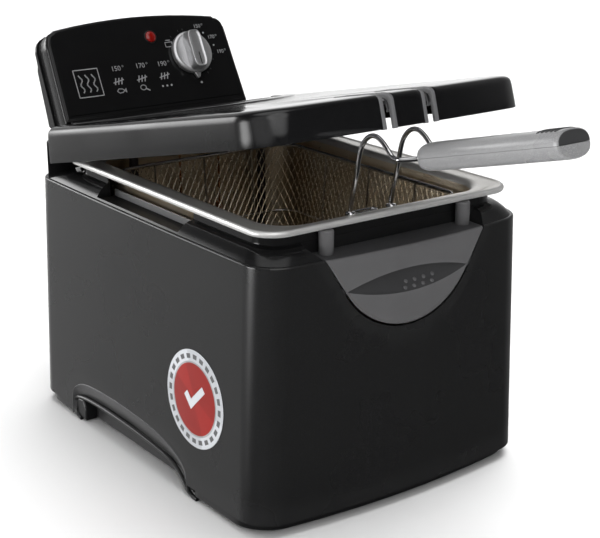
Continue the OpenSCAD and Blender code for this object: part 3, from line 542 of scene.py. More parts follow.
def casing_piece():
    body = casing_body()
    carve(body, tower(), "UNION", 35)
    carve(body, prism(grip_outline(1.8, 240), -40, 13.2, "y"), angle=35)
    extra = []
    for s in (-1, 1):
        carve(body, scoop(s), angle=35)
        # ledge in the floor of the scoop, in the recess black: painted shade
        extra.append(block(s * 122.6, s * 103.2, 108, 241, 202.4, 204.9, "ledge", "shade", 0.3))
        extra.append(block(s * 104.4, s * 103.2, 108, 241, 204, 210.4, "rise", "side", 0.3))
    for s in (-1, 1):
        hole = resample(CREASE, 60) + [(92.4, -5), (281, -5)]
        carve(body, prism(hole, s * 100, s * 150, "x"), angle=35)
    bevel(body, 0.55, 2, 50)
    smooth(body, 38)
    body.modifiers.new("n", "WEIGHTED_NORMAL").keep_sharp = True
    apply_mods(body)
    for s in (-1, 1):
        extra.append(opening_band(s))
        line = [(s * (wall_x(y, z) - 0.35), y, z) for y, z in resample(CREASE, 120)]
        # crease line in the lighter band grey: a painted highlight
        extra.append(tube("crease", [line], 1.3, "band", 10))
    o = join("casing", [body] + extra)
    band = [o.data.materials[p.material_index] == M["band"] for p in o.data.polygons]

    def pick(p):
        """Side walls, gloss above their edge, the band lightened as a painted reflection, and in the scoops a grey
        rise and a ledge darkened as painted shade.
        """
        x, y, z = abs(p.center.x * 1000), p.center.y * 1000 - FY, p.center.z * 1000
        in_scoop = 107 < y < 242
        if band[p.index]:
            return 2
        if in_scoop and 103 < x < 104.6 and z > 204.95:
            return 3
        if in_scoop and 104.4 < x < 122.9 and 202 < z < 206.04:
            return 4
        return 1 if z > 206.05 or (z > 199 and x < 122 and y > 3) else 0
    return dress(o, ("side", "gloss", "band", "liner", "shade"), pick)


give(casing_piece(), "casing", "casing_plastic", "casing_shell")


# ---------------------------------------------------------------- base tray with the hand openings' lips
LIP = [(270, 2.6), (276.6, 4.4), (280.6, 8.8), (281.8, 14.6), (276.8, 20.2), (262, 23.4), (240, 25),
       (215, 25.6), (190, 25.4), (165, 24.6), (140, 23.1), (122, 20.9), (112, 17.4), (104, 11.6),
       (98.6, 6.8), (93.4, 3.9), (88, 2.6), (82, 2.2)]
POCKET = [(276, 3), (276.6, 12), (272, 20.5), (250, 24), (210, 25.4), (170, 25), (135, 22.6), (115, 18.5),
          (103, 11.5), (96, 3)]
BULGES = ([(262, 1.6), (271, 2.2), (278, 6.4), (280.6, 13), (275.6, 19.4), (266, 20), (262, 12)],
          [(84, 1.2), (92, 1.8), (98.4, 5.4), (104.4, 11), (101, 13), (95, 9), (86, 6)])


def tray():
    half = casing_half(10) - 1.4
    levels = ((2.5, 2.4), (2.9, 1.0), (3.8, 0.2), (5, 0), (9.4, 0), (10.4, 0.8), (10.4, 4), (5.2, 4.4), (5.2, 30))
    rings = [at(outline(half - i, 5.6 + i, 339 - i, BOW, SIDE_BOW, 26), z) for z, i in levels]
    o = loft("base", rings, "black", angle=35)
    for s in (-1, 1):
        carve(o, block(s * 118, s * 150, 83, 277, -2, 40), angle=35)
    for row in range(-3, 4):                        # air slots
        for s in (-1, 1):
            carve(o, block(s * 40 - 22, s * 40 + 22, 180 + row * 9, 183.5 + row * 9, -1, 12), angle=35)
    return smooth(bevel(o, 0.4, 2, 50), 38)


def pocket(s):
    """Lip, inner wall and rounded feet of the hand opening on side s."""
    line = [(s * (wall_x(y, z) - 2.7), y, z - 0.7) for y, z in resample(LIP, 90)]
    parts = [tube("lip", [line], 3.6, "black", 12)]
    rings, inside = [], []
    for y, z in resample(POCKET, 60):
        outer = (s * (wall_x(y, z) - 4.6), y, z)
        inner = (s * 119.6, y * 0.96 + 184 * 0.04, z * 0.97)
        mid = ((outer[0] + inner[0]) / 2, (outer[1] + inner[1]) / 2, (outer[2] + inner[2]) / 2 + 0.6)
        rings.append([outer, mid, inner] + [(px, py, pz + 1.4) for px, py, pz in (inner, mid, outer)])
        inside.append((inner[1], inner[2] + 0.6))
    parts.append(loft("pocket_roof", rings, "black", angle=45))
    for end in BULGES:
        parts.append(prism(end, s * 119, s * (wall_x(end[0][0], 8) - 2.6), "x", "bulge", "black", 1.6, 4))
    parts.append(prism(inside, s * 117.8, s * 119.8, "x", "pocket", "matte"))
    return parts


give(join("base", [tray()] + pocket(-1) + pocket(1)), "casing", "base_plastic", "base_tray")


# ---------------------------------------------------------------- front grip
# lens-shaped dish: half width, height of its middle, half height, depth
DISH_X, DISH_Z, DISH_H, DISH_DEEP = 57, 179.5, 8.5, 8.5
DISH_R = (DISH_X ** 2 + DISH_H ** 2) / (2 * DISH_H)
PIP = [(0.01, 1.0), (0.8, 0.9), (1.5, 0.5), (1.8, -0.6), (0.01, -0.8)]


def dish(x):
    """Lower edge, upper edge, depth and belly of the dish at x."""
    rise = DISH_R - DISH_H - math.sqrt(DISH_R ** 2 - x * x)
    depth = DISH_DEEP * (1 - (x / DISH_X) ** 2) ** 0.8 if abs(x) < DISH_X else 0.0
    return DISH_Z + rise, DISH_Z - rise, depth, 1.5 * (1 - min(abs(x) / 60, 1) ** 2)


def dish_point(x, low, high, depth, belly, t):
    """From the dish's lower edge at t = 0 to its upper edge at t = 1."""
    y = front_y(x) + 0.3 - belly + (depth + belly) * math.sin(t * math.pi / 2) ** 0.9
    return (x, y, low + (high - low) * t ** 1.2 * 0.98)


def grip_column(x):
    """Points up the grip's face at x: below the dish, through it, above it, over the top."""
    a, yf = abs(x), front_y(x) + 0.3
    bottom = min(GRIP_Z - math.sqrt(GRIP_R ** 2 - x * x) if a < 57 else 178 + (a - 57) / 17 * 26.5, 204.0)
    low, high, depth, belly = dish(x)
    if a >= 56.5:
        low = high = max(DISH_Z, bottom + 0.6) if a < 60 else bottom + 0.6
        depth = 0.0
    low, high = max(low, bottom + 0.3), max(high, bottom + 0.6)
    col = [(x, yf - belly * math.sin(t * math.pi / 2), bottom + (low - bottom) * t)
           for t in (k / 6 for k in range(7))]
    col += [dish_point(x, low, high, depth, belly, k / 9) for k in range(1, 10)]
    col.append((x, yf + depth * 0.9, high))
    lean = 1.4 * (1 - min(a / 62, 1) ** 2)
    col += [(x, yf + lean * (1 - t), high + 0.15 + (204.4 - high) * t) for t in (k / 6 for k in range(7))]
    col += [(x, yf + 0.35, 205.3), (x, yf + 1.3, 205.9)]
    return col + [(x, yf + 1.3 + (17.7 - yf) * t, 205.9 + 1.1 * t) for t in (k / 8 for k in range(1, 9))]


def grip_piece():
    cols = [grip_column(-74 + 148 * i / 96) for i in range(97)]
    n = len(cols[0])
    # the dish's steps and the top ledge under the rim take the darker grey: painted shade
    kinds = [0] * 6 + [1] * 10 + [0] * 9 + [1] * 8          # finish of each step up a column
    faces = [(a, a + 1, a + n + 1, a + n) for a in (i * n + j for i in range(96) for j in range(n - 1))]
    o = make("front_grip", [p for c in cols for p in c], faces, "grip", clean=False)
    dress(o, ("grip", "grip_dark"), lambda p: kinds[p.index % (n - 1)])
    o.data.flip_normals()
    smooth(o, 30)
    shell = o.modifiers.new("thick", "SOLIDIFY")
    shell.thickness, shell.offset = 0.0022, -1
    parts = [apply_mods(o)]
    for row in range(2):                            # low pips in the dish
        for k in range(4):
            x = -4 + k * 8.6 + row * 3.0
            z = 172.9 + row * 3.7 + 0.0016 * x * x
            low, high, depth, belly = dish(x)
            t = (max(z - low, 0.01) / (0.98 * (high - low))) ** (1 / 1.2)
            place = (Matrix.Translation(mm(*dish_point(x, low, high, depth, belly, t)))
                     @ Matrix.Rotation(math.radians(48), 4, "X"))
            parts.append(lathe("pip", PIP, "grip", place, 20))
    return join("front_grip", parts)


give(grip_piece(), "casing", "grip_plastic", "front_grip")

POST = [(0.01, 203.2), (3.4, 203.5), (4.9, 204.6), (5.4, 206.4), (5.5, 208), (5.5, 223.2), (5.0, 224.05),
        (0.01, 224.1)]
posts = [lathe("rim_post", POST, "grip", Matrix.Translation(mm(x, 6.5, 0)), 56) for x in (-65, 65)]
give(join("rim_posts", posts), "casing", "grip_plastic", "rim_posts")


# ---------------------------------------------------------------- round badge on the side
def badge_piece():
    y, z = 82.0, 85.0
    place = (Matrix.Translation(mm(-wall_x(y, z) - 0.02, y, z)) @ Matrix.Rotation(math.radians(0.5), 4, "Z")
             @ Matrix.Rotation(math.radians(DRAFT - 90), 4, "Y"))
    discs = (("ring", [(0.01, 0.0), (38.2, 0.0), (38.5, 0.2), (38.3, 0.42), (37.4, 0.46), (0.01, 0.46)]),
             ("print", [(0.01, 0.40), (29.6, 0.40), (29.6, 0.54), (29.2, 0.58), (0.01, 0.58)]),
             ("red", [(0.01, 0.50), (28.3, 0.50), (28.2, 0.64), (27.9, 0.68), (0.01, 0.68)]))
    parts = [lathe("disc", profile, mat, place, 120) for mat, profile in discs]
    # a plain tick mark, raised
    tick = [(0.5, 13.5), (4.6, 9.6), (-0.8, 4.2), (13.2, -10.4), (9.2, -14.4), (-9.0, 4.2)]
    parts.append(slab(tick, 0.6, 0.88, place, "ring", 32))
    # ring of short raised dashes where a printed band would be
    w = math.radians(4.2)
    for k in range(24):
        a = 2 * math.pi * k / 24
        corners = ((31.8, a - w), (35.4, a - w), (35.4, a + w), (31.8, a + w))
        dash = [(r * math.cos(t), r * math.sin(t)) for r, t in corners]
        parts.append(slab(dash, 0.44, 0.56, place, "faint"))
    return join("side_badge", parts)


give(badge_piece(), "casing", "badge_print", "side_badge")


# ---------------------------------------------------------------- pan with its rolled rim
def pan_ring(z, inset):
    return at(outline(98.5 - inset, 19 + inset, 287 - inset, 0, 0, 28, nf=20, nr=20, nc=14), z)


def rim_ring(z, inset):
    return at(outline(119 - inset, 5 + inset, 303 - inset, 0, 0, 22 - inset / 2, nf=20, nr=20, nc=14), z)


# (z, inset) up the outside, under the rim, round its bead, over it, down the inside
PAN = [(75.2, 17), (76.6, 10), (82, 7.6), (222, -0.8), (225.4, -1.7), (226.9, -4.4)]
RIM = [(227.6, 5.2), (226.4, 3.2), (224.9, 2.6), (224.45, 2.0), (224.4, 1.35), (224.7, 0.7), (225.4, 0.22),
       (226.4, 0.0), (227.4, 0.08), (228.2, 0.4), (228.75, 0.95), (229.0, 1.75), (228.95, 2.7),
       (228.6, 3.6), (228.35, 4.6), (228.3, 6.2), (228.35, 9)]
PAN_INSIDE = [(228.45, -9.5), (228.5, -6.4), (228.3, -4.6), (227.8, -3.1), (227.0, -1.9), (225.8, -0.9),
              (224, -0.3), (220, 0), (150, 4.0), (84, 8.2), (79.4, 9.4), (77.2, 11.6), (76.1, 15),
              (76.0, 19)]


def pan_piece():
    rings = [pan_ring(*p) for p in PAN] + [rim_ring(*p) for p in RIM] + [pan_ring(*p) for p in PAN_INSIDE]
    o = loft("pan", rings, "steel", angle=50, clean=False)
    n = len(rings[0])
    # finish of each strip between rings: 0 steel, 1 golden steel, darkened by heat tint in patches, its golden
    # tone a painted reflection of fried food, 2 bead, a lighter copy of the steel as a painted highlight; the caps
    # come last
    strips = [1] * 4 + [0] * 3 + [2] * 11 + [0] * 11 + [1] * 8
    return dress(o, ("steel", "panin", "bead"), lambda p: strips[p.index // n])


give(pan_piece(), "pan", "pan_steel", "inner_pan")


# ---------------------------------------------------------------- basket
MIDDLE = 150                            # y of the basket's middle


def walk(points, step):
    """Points every step mm along a closed loop."""
    run, out = [0.0], []
    loop = points + [points[0]]
    for a, b in zip(loop, loop[1:]):
        run.append(run[-1] + math.dist(a, b))
    n = int(run[-1] / step / 2) * 2
    k = 0
    for i in range(n):
        s = run[-1] * i / n
        while run[k + 1] < s:
            k += 1
        t = (s - run[k]) / (run[k + 1] - run[k])
        a, b = loop[k], loop[k + 1]
        out.append((a[0] + (b[0] - a[0]) * t, a[1] + (b[1] - a[1]) * t))
    return out


def basket_plan(inset, r=22, steps=16, side=20):
    return outline(92 - inset, 30 + inset, 270 - inset, 0, 0, r, nf=steps, ns=side, nr=steps, nc=10)


def mesh_wall():
    """Zigzag wires one above the other, crossing at their turns."""
    lines, rows, low, high, n = [], 15, 124.0, 216.5, 240
    dz = (high - low) / rows
    for row in range(rows):
        z0 = low + row * dz
        plan = basket_plan(8 * (1 - (z0 - 118) / 100) + 0.9)
        length = sum(math.dist(p, q) for p, q in zip(plan, plan[1:] + plan[:1]))
        level = []
        for i, (x, y) in enumerate(walk(plan, length / n - 1e-6)[:n]):
            up = (i + row) % 2
            k = 1 + (0.9 * up - 0.45) / math.hypot(x, y - MIDDLE)
            level.append((x * k, MIDDLE + (y - MIDDLE) * k, z0 + (dz + 0.8) * up - 0.4))
        lines.append(level)
    return tube("basket_mesh", lines, 1.15, "wire", 6, closed=True)


def mesh_floor():
    lines = []
    for row in range(35):
        y = 43 + row * 6.1
        near = min(20, abs(y - 43.5), abs(y - 256.5))       # distance to the nearer end, within its rounding
        e = 78.5 - 20 + math.sqrt(400 - (20 - near) ** 2)
        n = int(2 * e / 3.3)
        turns = [(i + row) % 2 for i in range(n + 1)]
        lines.append([(-e + 2 * e * i / n, y + 6.7 * up, 118.8 + 0.4 * up) for i, up in enumerate(turns)])
    return tube("basket_floor", lines, 1.15, "wire", 6)


def mesh_bend():
    """Row of bent wires where wall and floor meet."""
    walks = [walk(basket_plan(i), 6.6) for i in (7.6, 9.2, 14.2)]
    n = min(len(w) for w in walks)
    bends = [[(*w[int(i * len(w) / n)], z) for w, z in zip(walks, (124.4, 120.4, 118.9))] for i in range(n)]
    return tube("basket_bend", bends, 1.15, "wire", 6, smooth_steps=3)


def ring_line(z, inset):
    return at(basket_plan(inset, 20, 10, 12), z)


def strap(leg, put):
    """Wire down one wall, under the floor and up the other wall; leg is (distance from the middle, z)."""
    return [put(-d, z) for d, z in leg] + [put(d, z) for d, z in leg[::-1]]


give(join("basket_mesh", [mesh_wall(), mesh_floor(), mesh_bend()]), "basket", "basket_wire", "basket_mesh")
rim_wire = tube("basket_rim", [ring_line(218, 1.9)], 3.4, "chrome", 16, closed=True)
give(rim_wire, "basket", "basket_wire", "basket_rim")
hoop = tube("basket_frame", [ring_line(158, 5.2), ring_line(119.4, 9.6)], 2.2, "chrome", 12, closed=True)
LENGTHWAYS = [(118.2, 217), (114.6, 158), (111.8, 124), (105, 117.6)]
ACROSS = [(90.2, 217), (86.8, 158), (84.2, 124), (77, 117.4)]
straps = [strap(LENGTHWAYS, lambda d, z, x=x: (x, MIDDLE + d, z)) for x in (-50, 0, 50)]
straps += [strap(ACROSS, lambda d, z, y=y: (d, y, z)) for y in (90, 150, 210)]
frame_wires = tube("basket_straps", straps, 2.0, "chrome", 10, smooth_steps=4)
give(join("basket_frame", [hoop, frame_wires]), "basket", "basket_wire", "basket_frame")


# ---------------------------------------------------------------- handle
TILT = math.radians(14.3)               # the grip rises towards its end
GRIP_W, GRIP_T, SEAM = 31.4, 19.8, 0.12             # its width, thickness, and half the gap between its halves


def handle_point(x, s, up):
    """Point of the grip: s along its axis, up from it."""
    c, d = math.cos(TILT), math.sin(TILT)
    return (x, -30 - s * c + up * d, 274.7 + s * d + up * c)


def wire_line(x):
    line = [(36.6, 209), (36.6, 226), (30, 252), (26, 270), (21.5, 278.5), (15, 283.6), (8, 284.6), (1.5, 282),
            (-4.5, 277.5), (-9.5, 273.5), (-14, 272.3)]
    return ([(x, y, z) for y, z in line] + [(x * 0.97, -18, 272.6)]
            + [handle_point(x * f, s, 0) for f, s in ((0.6, -2), (0.5, 6), (0.5, 34))])


wires = tube("handle_wires", [wire_line(-SLOT_X), wire_line(SLOT_X)], 3.6, "chrome", 20, smooth_steps=8)
give(wires, "basket", "handle_plastic", "handle_wires")
LOOP = [(-15.3, 36.6), (-6, 36.6), (3.4, 36.7), (6.1, 37.6), (7, 39.6), (6.1, 41.7), (3.4, 42.6),
        (-6, 42.6), (-15.3, 42.6)]
loop = tube("latch_loop", [at(LOOP, 220.2)], 2.0, "chrome", 14, smooth_steps=4)
give(loop, "basket", "handle_plastic", "latch_loop")
COLLAR = [(1.86, 206.4), (3.0, 206.6), (3.4, 207.4), (3.4, 219.6), (4.0, 220.4), (4.2, 221.4), (3.6, 222.4),
          (1.86, 222.8)]
brackets = []
for x in (-SLOT_X, SLOT_X):
    brackets.append(lathe("collar", COLLAR, "chrome", Matrix.Translation(mm(x, 36.6, 0)), 32))
    brackets.append(block(x - 4.4, x + 4.4, 33.4, 35.2, 209, 221.6, "foot_clip", "chrome", 0.6))
give(join("handle_brackets", brackets), "basket", "handle_plastic", "handle_brackets")


def grip_ring(s, k, half):
    """Section of one half of the grip, scaled by k; half is 1 above the seam and -1 below it."""
    out = []
    for i in range(27):
        a = math.pi * i / 26
        x = math.copysign(abs(math.cos(a)) ** 0.8, math.cos(a)) * GRIP_W / 2 * k
        out.append((x, half * (max(math.sin(a), 0.0) ** 0.8 * GRIP_T / 2 * k + SEAM)))
    out += [(x * k, SEAM * half) for x in (-GRIP_W / 4, 0, GRIP_W / 4)]
    return [handle_point(x, s, up) for x, up in out]


# (distance along the grip, scale of its section)
PROFILE = [(0.0, 0.80), (0.4, 0.88), (1.2, 0.94), (2.6, 0.98), (5, 1.0), (14, 1.0), (40, 1.0), (80, 1.0),
           (131.4, 0.985), (133.4, 0.97), (134.5, 0.935), (135, 0.88)]


def grip_half(half, end_mat, end_depth):
    """One half of the grip and the slightly dished face on its end."""
    body = loft("grip_half", [grip_ring(s, k, half) for s, k in PROFILE], "silver")
    face = ((0.885, 0.0), (0.87, 0.32), (0.84, 0.36), (0.80, 0.36 - end_depth * 0.4), (0.70, 0.36 - end_depth),
            (0.3, 0.36 - end_depth))
    return [body, loft("end", [grip_ring(135 + out, k, half) for k, out in face], end_mat, angle=30)]


ribs = []
for i in range(5):                                  # small ribs on the top, near the end
    arc = []
    for k in range(-6, 7):
        a = math.radians(90 + k * 5)
        x = math.copysign(abs(math.cos(a)) ** 0.8, math.cos(a)) * GRIP_W / 2
        arc.append(handle_point(x, 113 + i * 3.9, math.sin(a) ** 0.8 * GRIP_T / 2))
    ribs.append(tube("rib", [arc], 1.3, "grip_dark", 8))
give(join("grip_upper", grip_half(1, "grip_dark", 0.3) + ribs), "basket", "grip_plastic", "grip_upper")
give(join("grip_lower", grip_half(-1, "silver", 0.1)), "basket", "grip_plastic", "grip_lower")


# ---------------------------------------------------------------- lid; built shut, then swung open
def swing():
    h = mm(0, *HINGE)
    return Matrix.Translation(h) @ Matrix.Rotation(-OPEN, 4, "X") @ Matrix.Translation(-h)


def swung(o):
    o.data.transform(swing())
    return o


def on_lid_top():
    """Frame of the lid's sloping top, at its rear edge."""
    return swing() @ Matrix.Translation(mm(0, 320, 249.8)) @ Matrix.Rotation(math.atan(4.7 / 322.6), 4, "X")


def lid_z(h, y):
    """z of height h up the lid's side; the lid thins and droops towards the front."""
    along, up = (320 - y) / 322.6, h / 31
    return 218.8 + h + along * (1.2 * (1 - up) - 4.7 * up)


def lid_ring(h, inset):
    pts = outline(125.6 - inset, -2.6 + inset, 320 - inset, BOW, SIDE_BOW, max(27 - inset / 2, 12), 4,
                  nf=48, ns=32, nr=16, nc=16)
    return [(x, y, lid_z(h, y)) for x, y in pts]


def lid_rings(*levels):
    return [lid_ring(h, inset) for h, inset in levels]


def carve_lid(o, x0, x1, y0, y1, z0, z1, angle=32):
    return carve(o, swung(block(x0, x1, y0, y1, z0, z1)), angle=angle)


VENT_R, VENT_Y, VENT_CHORD = 96, -6, -14            # louvred cover: a disc cut off by a straight rear edge


def vent_shape(m):
    """The cover's outline grown by m, in the frame of the lid's top."""
    r = VENT_R + m
    a0 = math.asin((VENT_CHORD + m - VENT_Y) / r)
    turn = [a0 - (math.pi + 2 * a0) * i / 48 for i in range(49)]
    return [(r * math.cos(a), VENT_Y + r * math.sin(a)) for a in turn]


def lid_piece():
    rings = lid_rings((28.4, 14), (27.4, 8.5), (22, 3.8), (3, 2.6), (0.3, 2.4), (0, 2.0),
                      (0.0, 0.5), (0.25, 0.1), (0.7, 0.0), (10, 0.35), (22, 0.95), (25.4, 1.35), (27.2, 1.95),
                      (28.6, 2.9), (29.7, 4.3), (30.4, 6.0), (30.8, 8.2), (31.0, 10.6), (31.0, 40))
    o = swung(loft("lid", rings, "lidtop", angle=40))
    for x in SLOTS:
        carve_lid(o, x - 6.7, x + 6.7, -60, 40.6, 200, 300, 40)
    carve_lid(o, -95, 95, 311.6, 340, 200, 262, 40)
    carve(o, slab(vent_shape(0.6), -12, 12, on_lid_top()), angle=40)
    bevel(o, 0.4, 2, 55)
    back = swing().inverted()

    def pick(p):
        """Flecked flanks, gloss elsewhere."""
        n, c = back.to_3x3() @ p.normal, back @ p.center * 1000
        return 1 if abs(n.x) > 0.55 and n.z < 0.66 and abs(c.x) > 115 and c.y - FY > 10 else 0
    return smooth(dress(o, ("lidtop", "lidside"), pick), 40)


def lid_inner():
    foot, top = 13.7, 27.8
    rings = lid_rings((top - 1.2, 14.6), (foot + 3, 12.8), (foot + 0.4, 13.4), (foot, 13.2), (foot, 12.6),
                      (foot + 0.6, 12.2), (foot + 3, 11.2), (top, 13.2))
    o = swung(loft("lid_inner", rings, "liner", angle=40))
    for x in SLOTS:
        carve_lid(o, x - 8.4, x + 8.4, -60, 42, 200, 300)
    for x0, x1, y0, z1 in ((-76, 76, 260, 243.2), (76, 110, 288, 257.8), (-110, -76, 288, 257.8)):
        carve_lid(o, x0, x1, y0, y0 + 90, 217.8, z1)
    carve(o, slab(vent_shape(-6), -22, 22, on_lid_top()))
    return smooth(bevel(o, 0.4, 2, 50), 38)


def slot_liner(x):
    """Two flanks that follow the lid's profile over its front edge, and a rounded end."""
    y0 = front_y(x) - 2.6
    edge = ((-0.5, -0.5), (10, 0.15), (22, 0.75), (25.4, 1.1), (27.2, 1.7), (28.6, 2.6), (29.7, 4.0), (30.5, 5.8),
            (31.2, 8.2), (31.45, 10.6))
    deep = ((40.4, 22, 40), (30, 24.6, 30), (20, 25.4, 20), (12, 26.0, 12), (y0 + 9, 26.0, 4), (y0 + 6, 24.6, 0),
            (y0 + 4.6, 22, 0), (y0 + 4.0, 16, 0), (y0 + 3.5, 8, 0), (y0 + 3.1, -0.5, 0))
    section = [(y0 + i, lid_z(h, y0 + i)) for h, i in edge] + [(y, lid_z(31.45, y)) for y in (20, 30, 38, 40.4)]
    section += [(y, lid_z(h, along)) for y, h, along in deep]
    parts = [prism(section, x + k * 3.3, x + k * 6.6, "x", "strip", "liner", 0.6, 3) for k in (-1, 1)]
    end = block(x - 3.5, x + 3.5, 37.2, 40.4, lid_z(22, 40), lid_z(31.45, 38), "slot_end", "liner", 0.6)
    return parts + [end]


def vent_piece():
    place = on_lid_top()
    rows = [-24 - i * 7 for i in range(10)]
    half = {y: math.sqrt((VENT_R - 9) ** 2 - (y - VENT_Y) ** 2) for y in rows}
    cover = slab(vent_shape(0), -3, 0.15, place, "lidtop", 32)
    for y in rows:
        w = half[y]
        carve(cover, slab([(-w, y - 1.9), (w, y - 1.9), (w, y + 1.9), (-w, y + 1.9)], -6, 3, place), angle=40)
    parts = [bevel(cover, 0.45, 2, 50)]
    blade = ((-2.9, -0.9), (-2.4, -0.3), (3.0, -3.4), (2.5, -4.0))
    for y in rows:                                  # slanted blades under the slots
        ends = [[(x, y + dy, z) for dy, z in blade] for x in (-half[y] - 0.8, half[y] + 0.8)]
        parts.append(loft("blade", ends, "lidtop", place=place, angle=None))
    # raised step that follows the front of the louvres
    step = ((97.4, 0.0), (98.2, 0.75), (100.5, 1.15), (106.5, 1.2), (108.6, 0.8), (109.6, 0.0), (108, -0.6),
            (99, -0.6))
    rings = []
    for i in range(49):
        a = math.radians(-172 + 164 * i / 48)
        rings.append([(r * math.cos(a), VENT_Y + r * math.sin(a), z) for r, z in step])
    parts.append(loft("step", rings, "lidtop", place=place, angle=45))
    return join("vent_cover", parts)


give(lid_piece(), "lid", "lid_plastic", "lid_shell")
give(lid_inner(), "lid", "liner_grey", "lid_liner")
liners = swung(join("slot_liners", [part for x in SLOTS for part in slot_liner(x)]))
give(smooth(liners, 35), "lid", "liner_grey", "slot_liners")
give(vent_piece(), "lid", "lid_plastic", "vent_cover")


# ---------------------------------------------------------------- control panel, in the frame of its face
FACE = Matrix.Translation(mm(0, *PANEL)) @ Matrix.Rotation(math.radians(90) - LEAN, 4, "X")
THICK = 0.8                             # the fascia stands this proud of the housing's face


def on_face(x, v, out=0.0):
    return FACE @ Matrix.Translation((x / 1000, v / 1000, out / 1000))


def arch_v(x):
    return 88 - 7 * (x / 88) ** 2


def panel_outline(m):
    """The face's outline grown by m: upright sides, rounded shoulders, an arched top."""
    half, top_half, n = 95.5, 92.3, 14
    shoulder = arch_v(top_half) - 11
    right = [(half + m - (half - top_half - 1) * i / n, -4 + (shoulder + 4) * i / n) for i in range(1, n + 1)]
    for i in range(1, 12):
        a = math.radians(7.5 * i)
        right.append((top_half - 9.5 + (10 + m) * math.cos(a), shoulder + (11 + m) * math.sin(a)))
    right.insert(0, (half + m, -4 - m))
    arch = [(x, arch_v(x) + m) for x in (i * (top_half - 10) / 24 for i in range(24, -25, -1))]
    return right + arch + [(-x, v) for x, v in right[::-1]]


def panel_loft(name, *levels):
    """levels of (margin, height out of the face)."""
    return loft(name, [at(panel_outline(m), w) for m, w in levels], "gloss", place=FACE, angle=40)


NECK = [(330, 216), (330, 229.2), (338, 230.8), (338.4, 242), (345.2, 254.6), (360, 257), (360, 238),
        (350, 232), (340.5, 226), (340.5, 216)]


def front_housing():
    """Near-black face with flecked flanks, its neck and the lugs of the lid's hinge."""
    o = panel_loft("control_front", (-6, -19.2), (-0.4, -19.2), (0, -18.6), (0, -4.0), (-0.25, -2.4), (-0.8, -1.1),
                   (-1.7, -0.3), (-2.9, 0.0), (-8, 0.0))
    parts = [o, prism(NECK, -90, 90, "x", "neck", "gloss", 0.8, 3)]
    turn = [math.radians(-90 + 7.5 * i) for i in range(25)]
    lug = [(HINGE[0] + 6 * math.cos(a), HINGE[1] + 6 * math.sin(a)) for a in turn] + [(338, 242), (338, 230)]
    for x in (-77.6, -91.8, 77.6, 91.8):
        parts.append(prism(lug, x - 1.8, x + 1.8, "x", "lug", "gloss", 0.4))
    back = FACE.inverted()

    def pick(p):
        c = back @ p.center * 1000
        return 1 if (back.to_3x3() @ p.normal).z < 0.75 and c.z < -0.2 and c.y > -2 else 0
    return dress(join("control_front", parts), ("gloss", "lidside"), pick)


def flat(points, mat="print"):
    """Closed raised print on the fascia."""
    return slab(points, THICK - 0.02, THICK + 0.06, FACE, mat)


def stroke(points, width, closed=False, mat="print"):
    """Printed line through points, as one closed strip per segment."""
    out = []
    for a, b in zip(points, points[1:] + points[:1] if closed else points[1:]):
        k = width / 2 / (math.dist(a, b) or 1)
        dx, dy = (b[0] - a[0]) * k, (b[1] - a[1]) * k
        out.append(flat([(a[0] - dx - dy, a[1] - dy + dx), (a[0] - dx + dy, a[1] - dy - dx),
                         (b[0] + dx + dy, b[1] + dy - dx), (b[0] + dx - dy, b[1] + dy + dx)], mat))
    return out


def number(value, x, v, size):
    """A plain printed number with its degree ring, centred on x, v."""
    c = bpy.data.curves.new("n", "FONT")
    c.body, c.size, c.align_x, c.align_y = value, size / 1000, "CENTER", "CENTER"
    c.extrude, c.resolution_u = 0.00004, 3
    text = link("n", c)
    dg = bpy.context.evaluated_depsgraph_get()
    me = bpy.data.meshes.new_from_object(text.evaluated_get(dg))
    bpy.data.objects.remove(text)
    me.transform(on_face(x, v, THICK + 0.02))
    me.materials.clear()
    me.materials.append(M["print"])
    right, up = (7.2, 1.8) if size > 6 else (5.6, 1.4)
    return [link("number", me)] + stroke(circle(x + right, v + up, 0.75, 10), 0.3, True)


def pictures():
    """Generic food pictures under the three numbers, heat waves in a frame, and a small mark beside the knob."""
    fish = [(-38, 19), (-36, 21), (-32.5, 20.6), (-30.6, 19), (-32.5, 17.4), (-36, 17)]
    parts = stroke(fish, 0.7, True) + stroke([(-30.6, 19), (-29, 20.6), (-29, 17.4)], 0.7, True)
    parts += stroke(circle(-11, 19.6, 2.9, 14, 0.8), 0.7, True) + stroke([(-8.6, 18.4), (-5.4, 16.4)], 1.1)
    parts += [flat(circle(13.7 + d, 18.6, 1.0, 12)) for d in (-4.6, 0, 4.6)]
    for x in (-34, -10, 13.7):                      # chips
        for k in range(3):
            parts += stroke([(x - 4 + k * 3.2, 25.4), (x - 2.4 + k * 3.2, 30.6)], 1.0)
        parts += stroke([(x - 5, 27.0), (x + 5, 29.2)], 0.9)
    parts += stroke([(-76, 17), (-52, 17), (-52, 42.4), (-76, 42.4)], 0.8, True)
    for x in (-70.6, -64.2, -57.8):
        parts += stroke([(x + 1.2 * math.sin(i * 0.9), 21.5 + i * 1.3) for i in range(13)], 1.1)
    parts += stroke([(23.8, 55), (31, 55), (31, 59.4), (23.8, 59.4)], 0.6, True)
    return parts + stroke([(25.2, 61.4), (29.6, 61.4)], 0.6)


